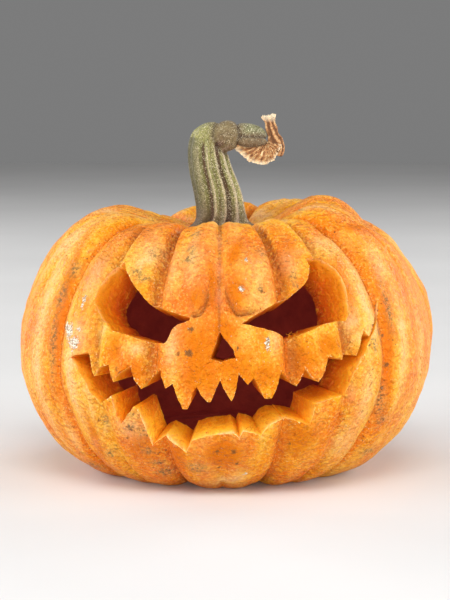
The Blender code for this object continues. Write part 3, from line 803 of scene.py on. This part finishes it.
def build_pumpkin():
    """Rind, flesh and hollow wall in one carved piece."""
    body, info = outer_skin()
    skin_tree = tree_of(body)
    kd = KDTree(info.shape[1])
    for k, point in enumerate(mesh_points(body.data)):
        kd.insert(point, k)
    kd.balance()
    hollow = hollow_body()
    hollow_tree = tree_of(hollow)
    mesh = carve(body, [hollow] + [face_cut(*row, skin_tree) for row in CUTS])
    points = mesh_points(mesh)
    spots = [Vector(point) for point in points]
    depth = np.array([skin_tree.find_nearest(spot)[3] for spot in spots])
    inner = np.array([hollow_tree.find_nearest(spot)[3] for spot in spots])
    degrees, t, close, line, dark, dip_shade = info[:, [kd.find(spot)[1] for spot in spots]]
    on_rim = beside(mesh, (depth > CUT_DEPTH) & (inner > HOLLOW_DEPTH)) & (depth < SKIN_DEPTH)
    # line and dip carry painted shade for the rind: lines down the creases and folds, and shade by the
    # overlaps and folds
    known = {
        "below": depth, "crease": close, "along": t, "line": np.maximum(crease_shade_line(degrees, t, line), dark),
        "dip_shade": dip_shade, "rimcut": on_rim,
    }
    for name, values in known.items():
        set_attribute(mesh, name, values)
    specks = [(across, down, r * SPECK_SPREAD, r * SPECK_SPREAD) for across, down, r in SPECKS]
    # the last two masks are painted shade (deep orange) and painted highlight (pale peach sheen)
    marks = {"cork": CORK, "stain": STAINS, "pink": PINKS, "speck": specks, "painted_shade": PAINTED_SHADE_SPOTS, "pale": PAINTED_SHEEN_SPOTS}
    for name, rows in marks.items():
        set_attribute(mesh, name, spot_mask(points, rows, skin_tree))
    set_attribute(mesh, "ribway", ribway(degrees, t, 0.045), "FLOAT_VECTOR")
    set_materials(mesh, depth, inner)
    strands = [strand(skin_tree, *row, 1.7 * k) for k, row in enumerate(STRANDS)]
    for piece in strands:
        piece.data.materials.append(mesh.materials[FLESH])
        piece.data.shade_smooth()
    join(strands, body)
    return body


# Stem
STEM_RUN = by_length(smooth_line(STEM_LINE, 12), 400)[::-1]
STEM_AT = np.linspace(0.0, 1.0, len(STEM_RUN))


def ball_tube(name, around, along, place):
    """Closed form whose points are placed by angle round it and fraction along it."""
    turn, t = np.meshgrid(np.arange(around) / around * math.tau, even_rows(along))
    ends = [place(np.zeros((1, 1)), np.full((1, 1), end))[0, 0] for end in (0.0, 1.0)]
    obj = tube(name, place(turn, t), ends)
    face_outward(obj)
    return obj


def ridge_wave(degrees, t):
    """Ridge height (-1 groove, 1 crest) round the twisted shaft."""
    return round_ramp(STEM_RING, degrees + STEM_TWIST * (t - TWIST_MIDDLE))


def stem_shaft():
    """Ridged, twisted shaft along the stem's middle line."""
    def place(turn, t):
        x, y, z, radius, ridge = (np.interp(t, STEM_AT, STEM_RUN[:, k]) for k in range(5))
        degrees = np.degrees(turn)
        fine = 0.012 * np.sin(degrees * 0.9 + 9.0 * np.sin(4.0 * t)) * (t < 0.97)
        radius = radius * (1.0 + ridge * ridge_wave(degrees, t) + fine)
        radius = np.where((t <= 0.0) | (t >= 1.0), 0.0, radius)
        return np.stack([x + radius * np.sin(turn), y - radius * np.cos(turn), z - REST], axis=-1)

    return ball_tube("shaft", 240, 200, place)


def ridge_of(points):
    """Ridge height, and how far round to the right, of points near the shaft."""
    z = points[:, 2] + REST
    order = np.argsort(STEM_RUN[:, 2])
    t = np.interp(z, STEM_RUN[order, 2], STEM_AT[order])
    x, y = (np.interp(t, STEM_AT, STEM_RUN[:, k]) for k in range(2))
    turn = np.arctan2(points[:, 0] - x, -(points[:, 1] - y))
    ridge = ridge_wave(np.degrees(turn), t) * rise(SHAFT_TOP - z, 0.0, 0.008)
    return ridge, np.sin(turn) * (z < SHAFT_TOP)


def in_oval(points, spec):
    """Scaled distance from an oval's middle: 1 on its surface."""
    (cx, cy, cz), half, tilt = spec
    x, y, z = (points - np.array([cx, cy, cz - REST])).T
    along = (x * math.cos(tilt) - z * math.sin(tilt)) / half[0]
    up = (x * math.sin(tilt) + z * math.cos(tilt)) / half[2]
    return np.sqrt(along ** 2 + (y / half[1]) ** 2 + up ** 2)


def oval(name, spec):
    """Tilted swelling of the stem."""
    (cx, cy, cz), half, tilt = spec

    def place(turn, t):
        x = half[0] * np.sin(turn) * np.sin(np.pi * t)
        y = -half[1] * np.cos(turn) * np.sin(np.pi * t)
        z = half[2] * np.cos(np.pi * t)
        across = cx + x * math.cos(tilt) + z * math.sin(tilt)
        return np.stack([across, cy + y, cz - REST + z * math.cos(tilt) - x * math.sin(tilt)], axis=-1)

    return ball_tube(name, 60, 40, place)


def dry_fan():
    """Papery pleated end: a thin shell with a curled, ragged rim."""
    degrees = np.linspace(FAN_EDGE[0][0], FAN_EDGE[-1][0], FAN_TURNS)
    coarse = np.array([noise.noise(Vector((a * 0.22, 3.0, 1.0))) for a in degrees])
    fine = np.array([noise.noise(Vector((a * 0.9, 7.0, 1.0))) for a in degrees])
    reach = ramp(FAN_EDGE, degrees) + 0.0008 * (coarse + 0.6 * fine)
    angle, u = np.meshgrid(np.radians(degrees), np.linspace(0.04, 1.0, FAN_ROWS))
    pleat = np.sin(angle * 25.0 + 1.5 * np.sin(angle * 5.0) + 0.8 * np.sin(9.0 * u))
    r = reach[None, :] * u
    x = FAN_ROOT[0] + r * np.cos(angle)
    z = FAN_ROOT[2] - REST + r * np.sin(angle)
    bowl = 0.0050 * np.sin(np.pi * np.minimum(u * 0.85, 1.0))
    rim = 0.0022 * rise(u, 0.86, 0.14) ** 2
    y = FAN_ROOT[1] - bowl - rim + 0.0009 * pleat * u ** 0.8 + 0.0006 * np.sin(angle * 9.0 + 2.0)
    thick = 0.0034 * (1.0 - u) + 0.0009
    sides = [np.stack([x, face, z], axis=-1).reshape(-1, 3) for face in (y, y + thick)]
    n = FAN_TURNS * FAN_ROWS
    faces = []
    for k in range(FAN_ROWS - 1):
        for p in range(k * FAN_TURNS, (k + 1) * FAN_TURNS - 1):
            q = p + FAN_TURNS
            faces.append((p, p + 1, q + 1, q))
            faces.append((n + q, n + q + 1, n + p + 1, n + p))
    grid = np.arange(n).reshape(FAN_ROWS, FAN_TURNS)
    border = np.concatenate([grid[0], grid[1:, -1], grid[-1, -2::-1], grid[-2:0:-1, 0]]).tolist()
    for p, q in zip(border, border[1:] + border[:1]):
        faces.append((q, p, n + p, n + q))
    fan = new_object("fan", np.vstack(sides), faces)
    set_attribute(fan.data, "ridge", np.tile((pleat * np.minimum(u * 2.0, 1.0)).ravel(), 2))
    return fan


def dry_strip():
    """Flattened, grooved strip rising from the papery end to a torn tip."""
    line = by_length(smooth_line(STRIP_LINE, 10), STRIP_STEPS)
    turn = np.arange(STRIP_AROUND) / STRIP_AROUND * math.tau
    rows = []
    for k, (x, y, z, half) in enumerate(line):
        ahead = line[min(k + 1, STRIP_STEPS)] - line[max(k - 1, 0)]
        side = Vector((ahead[2], 0.0, -ahead[0])).normalized()
        part = k / STRIP_STEPS
        grooves = 1.0 + 0.16 * np.sin(turn * 5.0 + part * 3.0) + 0.08 * np.sin(turn * 9.0 - part * 5.0)
        grooves *= 0.25 if k == 0 else 1.0
        across = half * (1.0 + 0.10 * math.sin(part * 21.0)) * grooves * np.cos(turn)
        deep = 0.0019 * grooves * np.sin(turn)
        rows.append(np.stack([x + side.x * across, y + deep, z - REST + side.z * across], axis=1))
    torn = np.array([noise.noise(Vector((c * 2.1, 1.7, 4.0))) for c in turn])
    rows[-1][:, 2] += 0.0016 * torn
    tip = rows[-1].mean(axis=0)
    rows.append(tip + 0.35 * (rows[-1] - tip) - np.array([0.0, 0.0, 0.0022]))
    strip = tube("strip", rows, [rows[0].mean(axis=0), rows[-1].mean(axis=0)])
    crest = np.concatenate([np.sin(turn * 5.0 + k / 20.0) for k in range(len(rows))] + [np.zeros(2)])
    set_attribute(strip.data, "ridge", 1.5 * crest - 1.4)
    return strip


def dry_rim(name, points):
    """How near points of the papery end are to its pale rim or tip."""
    if name == "strip":
        return rise(points[:, 2], 0.253, 0.005)
    x, z = points[:, 0] - FAN_ROOT[0], points[:, 2] - (FAN_ROOT[2] - REST)
    edge = ramp(FAN_EDGE, np.mod(np.degrees(np.arctan2(z, x)), 360.0))
    return rise(np.hypot(x, z) / edge, 0.80, 0.18)


def build_stem():
    """Shaft and swellings under one skin, with grooves between them and the papery end."""
    stem = stem_shaft()
    join([oval("knuckle", KNUCKLE), oval("elbow", ELBOW), oval("lobe", ELBOW_LOBE)], stem)
    stem.name = "stem_bark"
    step = stem.modifiers.new("one_skin", "REMESH")
    step.mode = "VOXEL"
    step.voxel_size = VOXEL
    soft = stem.modifiers.new("soften", "SMOOTH")
    soft.iterations = 2
    soft.factor = 0.5
    mesh = apply_modifiers(stem)
    points = mesh_points(mesh)
    lump, upper, lower = (in_oval(points, spec) for spec in (KNUCKLE, ELBOW, ELBOW_LOBE))
    edge = (points[:, 2] > 0.228) & (points[:, 0] < KNUCKLE[0][0] + 0.002)
    seam = 0.8 * bell(lump - 1.16, 0.07) * edge
    for one, other in ((lump, upper), (lump, lower), (upper, lower)):
        seam = np.maximum(seam, bell(one - other, 0.10) * (np.minimum(one, other) < 1.22))
    normals = np.empty(len(points) * 3)
    mesh.vertices.foreach_get("normal", normals)
    points = points - normals.reshape(-1, 3) * (SEAM_DEPTH * seam)[:, None]
    mesh.vertices.foreach_set("co", points.ravel())
    ridge, around = ridge_of(points)
    foot = 0.6 * rise(0.200 - points[:, 2], 0.0, 0.018)
    known = {
        "dry": np.zeros(len(points)), "rim": np.zeros(len(points)), "ridge": ridge, "around": around,
        "seam": seam, "elbow": rise(1.6 - upper, 0.0, 1.0) * (upper < lump) * (upper < lower),
        "ruddy": np.clip(np.maximum(np.maximum(1.6 - lump, 1.7 - lower), foot), 0.0, 1.0),
    }
    for name, values in known.items():
        set_attribute(mesh, name, values)
    dried = [dry_fan(), dry_strip()]
    for piece in dried:
        face_outward(piece)
        points = mesh_points(piece.data)
        set_attribute(piece.data, "dry", np.ones(len(points)))
        set_attribute(piece.data, "rim", dry_rim(piece.name, points))
    join(dried, stem)
    stem.data.shade_smooth()
    stem.data.materials.clear()
    stem.data.materials.append(stem_material())
    return stem


# Materials
class Maker:
    """A new material, and short ways to add and join its shader nodes."""

    def __init__(self, name):
        self.material = bpy.data.materials.new(name)
        self.material.use_nodes = True
        self.tree = self.material.node_tree
        self.shader = self.tree.nodes["Principled BSDF"]

    def put(self, socket, value):
        if isinstance(value, bpy.types.NodeSocket):
            self.tree.links.new(value, socket)
        elif isinstance(value, tuple) and len(value) == 3 and socket.type == "RGBA":
            socket.default_value = (*value, 1.0)
        else:
            socket.default_value = value

    def finish(self, values):
        """Sets the shader's own values."""
        for name, value in values.items():
            self.put(self.shader.inputs[name], value)
        return self.material

    def node(self, kind, **values):
        node = self.tree.nodes.new(kind)
        for key, value in values.items():
            setattr(node, key, value)
        return node

    def attribute(self, name, output="Fac"):
        return self.node("ShaderNodeAttribute", attribute_name=name).outputs[output]

    def where(self):
        return self.node("ShaderNodeTexCoord").outputs["Object"]

    def math(self, operation, a, b):
        node = self.node("ShaderNodeMath", operation=operation)
        self.put(node.inputs[0], a)
        self.put(node.inputs[1], b)
        return node.outputs[0]

    def plus(self, a, b):
        return self.math("ADD", a, b)

    def minus(self, a, b):
        return self.math("SUBTRACT", a, b)

    def times(self, a, b):
        return self.math("MULTIPLY", a, b)

    def span(self, value, low, high, to_low=0.0, to_high=1.0, smooth=False):
        """A value carried from one range to another and held at its ends."""
        node = self.node("ShaderNodeMapRange", clamp=True)
        if smooth:
            node.interpolation_type = "SMOOTHSTEP"
        for socket, v in zip(node.inputs[:5], (value, low, high, to_low, to_high)):
            self.put(socket, v)
        return node.outputs[0]

    def noise(self, vector, scale, detail=4.0, rough=0.5, distort=0.0):
        node = self.node("ShaderNodeTexNoise")
        self.put(node.inputs["Vector"], vector)
        values = {"Scale": scale, "Detail": detail, "Roughness": rough, "Distortion": distort}
        for name, value in values.items():
            node.inputs[name].default_value = value
        return node.outputs["Fac"]

    def cells(self, vector, scale):
        """Distance to the nearest of scattered points."""
        node = self.node("ShaderNodeTexVoronoi", feature="F1")
        self.put(node.inputs["Vector"], vector)
        node.inputs["Scale"].default_value = scale
        node.inputs["Randomness"].default_value = 1.0
        return node.outputs["Distance"]

    def mix(self, amount, a, b, blend="MIX"):
        node = self.node("ShaderNodeMix", data_type="RGBA", blend_type=blend)
        for index, value in ((0, amount), (6, a), (7, b)):
            self.put(node.inputs[index], value)
        return node.outputs[2]

    def layers(self, base, rows):
        """Colours laid over a base one after another, each by its own amount."""
        for amount, colour in rows:
            base = self.mix(amount, base, colour)
        return base

    def colours(self, value, stops):
        node = self.node("ShaderNodeValToRGB")
        while len(node.color_ramp.elements) < len(stops):
            node.color_ramp.elements.new(0.5)
        for element, (at, colour) in zip(node.color_ramp.elements, stops):
            element.position = at
            element.color = (*colour, 1.0)
        self.put(node.inputs[0], value)
        return node.outputs[0]

    def bump(self, height, distance, strength):
        node = self.node("ShaderNodeBump")
        node.inputs["Strength"].default_value = strength
        node.inputs["Distance"].default_value = distance
        self.put(node.inputs["Height"], height)
        return node.outputs[0]


def skin_material():
    """Mottled orange rind with its marks, with painted shade in the creases and hollows and painted
    highlights on the crests and sides.
    """
    m = Maker("rind")
    where = m.where()
    crease = m.attribute("crease")
    along = m.attribute("along")
    large = m.noise(where, 17.0, 3.0, 0.5)
    blotch = m.noise(where, 60.0, 4.0, 0.58, 0.7)
    streak = m.noise(m.attribute("ribway", "Vector"), 95.0, 5.0, 0.62, 0.3)
    mottle = m.noise(where, 260.0, 3.0, 0.6)
    grain = m.noise(where, 700.0, 2.0, 0.55)
    pore = m.noise(where, 430.0, 2.0, 0.5)
    frayed = m.noise(where, 520.0, 3.0, 0.7)
    ragged = m.span(m.noise(where, 90.0, 4.0, 0.6), 0.35, 0.62, 0.5, 1.0)
    # painted shade (deep orange) and painted highlight (pale peach sheen) at the listed places, broken up by
    # noise
    painted_shade = m.times(m.attribute("painted_shade"), m.math("POWER", ragged, 0.4))
    pale = m.times(m.attribute("pale"), ragged)
    outside_painted_shade = m.span(painted_shade, 0.1, 0.7, 1.0, 0.0)
    tone = m.plus(m.times(large, 0.40), m.times(streak, 0.26))
    tone = m.plus(tone, m.plus(m.times(blotch, 0.28), m.times(mottle, 0.06)))
    # the tone is raised by the painted highlight and lowered by the painted shade
    tone = m.plus(tone, m.times(m.minus(pale, painted_shade), 0.10))
    tone = m.minus(tone, m.span(along, 0.60, 0.82, 0.0, 0.035))
    base = m.colours(m.span(tone, 0.40, 0.62), [
        (0.0, (0.72, 0.145, 0.0010)), (0.28, (0.78, 0.215, 0.0015)), (0.54, (0.82, 0.310, 0.006)),
        (0.78, (0.86, 0.42, 0.035)), (1.0, (0.88, 0.50, 0.14))])
    # painted highlight: the crests paler; painted shade: the creases deeper in colour, and darker by the
    # overlaps and folds
    crest = m.times(m.span(crease, 0.30, 0.03, 0.0, 1.0, True), m.span(streak, 0.3, 0.65, 0.05, 0.45))
    deep = m.times(m.span(crease, 0.28, 0.72, 0.0, 0.9, True), m.span(blotch, 0.3, 0.6, 0.6, 1.0))
    dip_shade = m.times(m.attribute("dip_shade"), m.span(mottle, 0.35, 0.60, 1.0, 0.55))
    # layers of painted shade (deep orange places), painted highlight (crests and pale places), painted shade
    # in the creases, painted shade lines down the creases and folds, and painted shade by the overlaps and
    # folds
    base = m.layers(base, [
        (m.times(painted_shade, 0.92), (0.60, 0.158, 0.0006)),
        (m.times(crest, outside_painted_shade), (0.85, 0.385, 0.165)),
        (m.times(pale, 0.70), (0.85, 0.445, 0.205)),
        (deep, (0.72, 0.150, 0.004)),
        (m.span(m.attribute("line"), 0.10, 0.90, 0.0, 0.66, True), (0.29, 0.066, 0.008)),
        (m.times(dip_shade, 0.84), (0.27, 0.090, 0.020)),
    ])
    # fine mottling, light and dark
    light_pore = m.times(m.span(pore, 0.46, 0.36, 0.0, 0.30), m.span(painted_shade, 0.1, 0.7, 1.0, 0.2))
    base = m.layers(base, [
        (m.times(m.span(mottle, 0.54, 0.66, 0.0, 0.16), outside_painted_shade), (0.93, 0.46, 0.022)),
        (m.span(mottle, 0.47, 0.36, 0.0, 0.26), (0.64, 0.13, 0.003)),
        (m.span(pore, 0.54, 0.66, 0.0, 0.34), (0.55, 0.125, 0.004)),
        (light_pore, (0.95, 0.55, 0.09)),
        (m.times(m.span(grain, 0.57, 0.72, 0.0, 0.40), outside_painted_shade), (0.94, 0.58, 0.24)),
        (m.span(grain, 0.44, 0.30, 0.0, 0.40), (0.52, 0.13, 0.008)),
    ])
    # healed and weathered places, pits in the creases and on some crests, specks, and the cut's pale rim,
    # partly the cut rind's own pale edge and partly a painted highlight along it
    stain = m.attribute("stain")
    broken = m.times(stain, m.span(m.noise(where, 420.0, 4.0, 0.7), 0.47, 0.57))
    chance = m.span(m.noise(where, 55.0, 3.0, 0.6), 0.48, 0.62)
    pits = m.times(m.span(m.cells(where, 260.0), 0.20, 0.10), chance)
    pits = m.times(pits, m.span(crease, 0.12, 0.45, 0.22, 0.9))
    speck = m.plus(m.attribute("speck"), m.span(frayed, 0.3, 0.7, -0.35, 0.35))
    base = m.layers(base, [
        (m.times(m.attribute("pink"), 0.55), (0.78, 0.27, 0.10)),
        (m.times(stain, 0.32), (0.52, 0.32, 0.13)),
        (m.times(broken, 0.88), (0.105, 0.085, 0.034)),
        (pits, (0.22, 0.075, 0.020)),
        (m.span(speck, 0.25, 0.65, 0.0, 0.85), (0.15, 0.065, 0.020)),
        (m.span(m.attribute("rimcut"), 0.10, 0.7, 0.0, 0.85), (0.96, 0.66, 0.30)),
    ])
    # corky scars, and the peach skin where the stem grows out
    crackle = m.span(m.noise(where, 700.0, 3.0, 0.7), 0.42, 0.52)
    cork = m.span(m.plus(m.attribute("cork"), m.span(frayed, 0.3, 0.7, -0.5, 0.5)), 0.42, 0.56)
    collar = m.times(m.span(along, 0.115, 0.065, 0.0, 0.60, True), m.span(streak, 0.35, 0.6, 0.5, 1.0))
    base = m.layers(base, [
        (cork, m.mix(crackle, (0.40, 0.20, 0.10), (0.94, 0.84, 0.68))),
        (collar, (0.84, 0.40, 0.20)),
    ])
    lumps = m.times(m.noise(where, 150.0, 4.0, 0.6), 0.9)
    height = m.plus(lumps, m.times(m.noise(where, 330.0, 2.0, 0.5), 0.55))
    height = m.plus(height, m.times(streak, 0.4))
    height = m.minus(height, m.times(pore, 0.4))
    height = m.minus(height, m.times(pits, 0.25))
    height = m.plus(height, m.times(m.times(cork, crackle), 0.15))
    return m.finish({
        "Base Color": base, "Specular IOR Level": 0.08, "Sheen Weight": 0.02, "Sheen Roughness": 0.45,
        "Subsurface Weight": 0.08, "Subsurface Radius": (0.006, 0.002, 0.0005), "Subsurface Scale": 1.0,
        "Roughness": m.plus(m.span(mottle, 0.3, 0.7, 0.40, 0.52), m.times(cork, 0.3)),
        "Normal": m.bump(height, distance=0.0046, strength=1.0),
    })


def flesh_material():
    """Cut flesh, coloured by its depth under the skin, with painted shade deeper in and on the upper walls
    and painted light on the lower walls.
    """
    m = Maker("flesh")
    where = m.where()
    along = m.attribute("along")
    below = m.times(m.attribute("below"), 1000.0)
    wave = m.noise(where, 60.0, 3.0)
    fibre = m.noise(where, 330.0, 4.0, 0.6, 0.4)
    # pale at the skin and deeper inward, as the flesh is, and dark red toward the hollow as painted shade;
    # the lower walls stay lighter as painted light
    at = m.plus(below, m.span(wave, 0.3, 0.7, -2.5, 2.5))
    at = m.times(at, m.span(along, 0.55, 0.62, 1.0, 0.55))
    base = m.colours(m.span(at, 0.0, 33.0), [
        (0.0, (0.98, 0.54, 0.190)), (0.035, (0.98, 0.45, 0.055)), (0.09, (0.97, 0.40, 0.022)),
        (0.18, (0.94, 0.33, 0.008)), (0.32, (0.86, 0.23, 0.004)), (0.52, (0.70, 0.130, 0.003)),
        (0.78, (0.42, 0.055, 0.003)), (1.0, (0.24, 0.025, 0.004))])
    base = m.layers(base, [
        (m.span(fibre, 0.52, 0.68, 0.0, 0.45), (0.97, 0.50, 0.035)),
        (m.span(fibre, 0.46, 0.34, 0.0, 0.45), (0.62, 0.12, 0.003)),
        (m.span(m.noise(where, 45.0, 3.0), 0.5, 0.75, 0.0, 0.35), (0.88, 0.26, 0.006)),
    ])
    # painted shade on the upper walls, stronger away from the skin, and painted light on the lower walls
    shaded_flesh = m.mix(1.0, base, (0.80, 0.68, 0.36), "MULTIPLY")
    upper = m.mix(m.span(below, 0.0, 4.0, 0.25, 1.0), base, shaded_flesh)
    lower = m.mix(1.0, base, (1.04, 1.18, 1.40), "MULTIPLY")
    return m.finish({
        "Base Color": m.mix(m.span(along, 0.55, 0.62), upper, lower), "Specular IOR Level": 0.3,
        "Subsurface Weight": 0.35, "Subsurface Radius": (0.012, 0.004, 0.0006), "Subsurface Scale": 1.0,
        "Roughness": m.span(fibre, 0.3, 0.7, 0.40, 0.58),
        "Normal": m.bump(m.plus(fibre, m.times(wave, 1.2)), distance=0.0020, strength=0.8),
    })


def hollow_material():
    """Dark red as painted shade for the dark inside, with a faint painted glow for the light that finds its
    way in.
    """
    m = Maker("hollow_wall")
    n = m.noise(m.where(), 90.0, 5.0, 0.6)
    return m.finish({
        "Base Color": m.colours(n, [(0.3, (0.16, 0.016, 0.008)), (0.7, (0.32, 0.035, 0.012))]),
        "Emission Color": m.colours(n, [(0.3, (0.050, 0.0042, 0.0034)), (0.7, (0.060, 0.0056, 0.0044))]),
        "Emission Strength": 0.9, "Roughness": 0.9, "Normal": m.bump(n, distance=0.002, strength=0.6),
    })


def stem_material():
    """Green bristly bark, brown in the grooves and darker down its left side as painted shade, brown at the
    knuckle, and straw where it is papery.
    """
    m = Maker("stem_bark")
    where = m.where()
    ridge = m.attribute("ridge")
    around = m.attribute("around")
    ruddy = m.attribute("ruddy")
    n = m.noise(where, 120.0, 4.0, 0.6)
    fine = m.noise(where, 900.0, 3.0, 0.6)
    # tan on the ridges, fading out down the left side as painted shade
    tan_ridge = m.times(m.span(ridge, 0.35, 0.95, 0.0, 0.75, True), m.span(around, -0.75, -0.2))
    # pale bristles, fewer on the shaded side
    bristle = m.span(m.cells(where, 1150.0), 0.40, 0.26)
    bristle = m.times(bristle, m.span(m.noise(where, 420.0, 2.0), 0.38, 0.56, 0.05, 1.0))
    bristle = m.times(bristle, m.span(around, -0.25, -0.80, 0.95, 0.38))
    bristle = m.times(bristle, m.span(ruddy, 0.1, 0.8, 1.0, 0.55))
    green = m.mix(m.span(n, 0.35, 0.65), (0.15, 0.145, 0.036), (0.30, 0.285, 0.095))
    # the first and ninth layers darken the left side and the second the grooves, as painted shade
    bark = m.layers(green, [
        (m.span(around, -0.25, -0.90, 0.0, 0.80), (0.062, 0.056, 0.018)),
        (m.span(ridge, -1.0, -0.1, 1.0, 0.0, True), (0.090, 0.048, 0.020)),
        (tan_ridge, (0.52, 0.42, 0.28)),
        (m.times(m.attribute("elbow"), 0.8), (0.135, 0.135, 0.092)),
        (m.times(ruddy, 0.95), (0.170, 0.080, 0.056)),
        (m.span(fine, 0.50, 0.60, 0.0, 0.70), (0.060, 0.045, 0.018)),
        (m.times(m.attribute("seam"), 0.75), (0.050, 0.028, 0.015)),
        (bristle, (0.84, 0.76, 0.52)),
        (m.span(around, -0.25, -0.85, 0.0, 0.24), (0.020, 0.018, 0.006)),
        (m.times(ruddy, 0.16), (0.030, 0.010, 0.006)),
    ])
    paper = m.noise(where, 420.0, 5.0, 0.7, 0.6)
    tan = m.colours(m.plus(paper, m.times(ridge, 0.095)), [
        (0.34, (0.14, 0.055, 0.018)), (0.46, (0.43, 0.19, 0.070)), (0.57, (0.60, 0.37, 0.16)),
        (0.70, (0.86, 0.72, 0.43))])
    papery = m.mix(m.times(m.attribute("rim"), 0.7), tan, (0.90, 0.76, 0.52))
    height = m.plus(m.times(bristle, 0.7), m.times(n, 0.8))
    return m.finish({
        "Base Color": m.mix(m.attribute("dry"), bark, papery), "Roughness": 0.75, "Specular IOR Level": 0.3,
        "Sheen Weight": 0.08, "Sheen Roughness": 0.5,
        "Normal": m.bump(height, distance=0.0009, strength=0.8),
    })


def floor_material():
    m = Maker("pale_floor")
    tone = m.noise(m.where(), 3.0, 3.0)
    return m.finish({
        "Base Color": m.colours(tone, [(0.3, (0.66, 0.655, 0.65)), (0.7, (0.70, 0.695, 0.69))]),
        "Roughness": 0.7,
    })


# The two pieces on the frame
pumpkin = build_pumpkin()
stem = build_stem()
for piece in (pumpkin, stem):
    piece.location = (CENTRE[0], CENTRE[1], 0.0)
bpy.context.view_layer.update()
for piece, node, slot in ((pumpkin, "pumpkin", "rind"), (stem, "stem", "stem_bark")):
    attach(piece, "root")
    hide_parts(node)

# Floor, world and lights
bpy.ops.mesh.primitive_plane_add(size=8.0, location=(0.0, 0.0, 0.0))
floor = bpy.context.object
floor.name = "floor"
floor.data.materials.append(floor_material())

world = bpy.data.worlds.new("studio")
bpy.context.scene.world = world
world.use_nodes = True
world.node_tree.nodes["Background"].inputs[0].default_value = (1.0, 1.0, 1.0, 1.0)
world.node_tree.nodes["Background"].inputs[1].default_value = 0.20
bpy.context.scene.view_settings.view_transform = "Standard"

# name, place, height it is aimed at, width and height, power
LIGHTS = [
    ("left_box", (-2.3, -0.8, 0.95), 0.09, (1.7, 1.6), 43.0),
    ("right_box", (2.3, -0.8, 0.95), 0.09, (1.7, 1.6), 40.0),
    ("left_rim", (-2.0, 1.5, 0.8), 0.10, (1.3, 1.3), 36.0),
    ("right_rim", (2.0, 1.5, 0.8), 0.10, (1.3, 1.3), 36.0),
    ("top_box", (0.0, -1.6, 2.2), 0.10, (1.6, 1.1), 42.0),
    ("low_front", (0.0, -2.6, 0.35), 0.04, (1.8, 0.6), 33.0),
]
for name, place, aim, size, power in LIGHTS:
    data = bpy.data.lights.new(name, "AREA")
    data.shape = "RECTANGLE"
    data.size, data.size_y = size
    data.energy = power
    light = bpy.data.objects.new(name, data)
    bpy.context.scene.collection.objects.link(light)
    light.location = place
    light.rotation_euler = (Vector((0.0, 0.0, aim)) - light.location).to_track_quat("-Z", "Y").to_euler()

# The camera where the photo's was: half the waist's width, and the photo's middle, in its pixels
SENSOR = 36.0
PHOTO_WIDTH, PHOTO_HEIGHT = 450.0, 600.0
HALF_WAIST = 204.5
WAIST_ROW = 345.0
camera_data = bpy.data.cameras.new("camera")
camera = bpy.data.objects.new("camera", camera_data)
bpy.context.scene.collection.objects.link(camera)
bpy.context.scene.camera = camera
camera_data.sensor_fit = "VERTICAL"
camera_data.sensor_height = SENSOR
focal_steps = HALF_WAIST / math.tan(math.asin(WAIST_RADIUS / SIGHT_DISTANCE))
camera_data.lens = focal_steps * SENSOR / PHOTO_HEIGHT
camera.location = EYE + Vector((CENTRE[0], CENTRE[1], 0.0))
tip_up = math.atan((WAIST_ROW - PHOTO_HEIGHT / 2) / focal_steps)
turn_left = math.atan((SHEET_AXIS[0] - PHOTO_WIDTH / 2) / focal_steps)
camera.rotation_euler = (math.pi / 2 - SIGHT_RISE + tip_up, 0.0, turn_left)
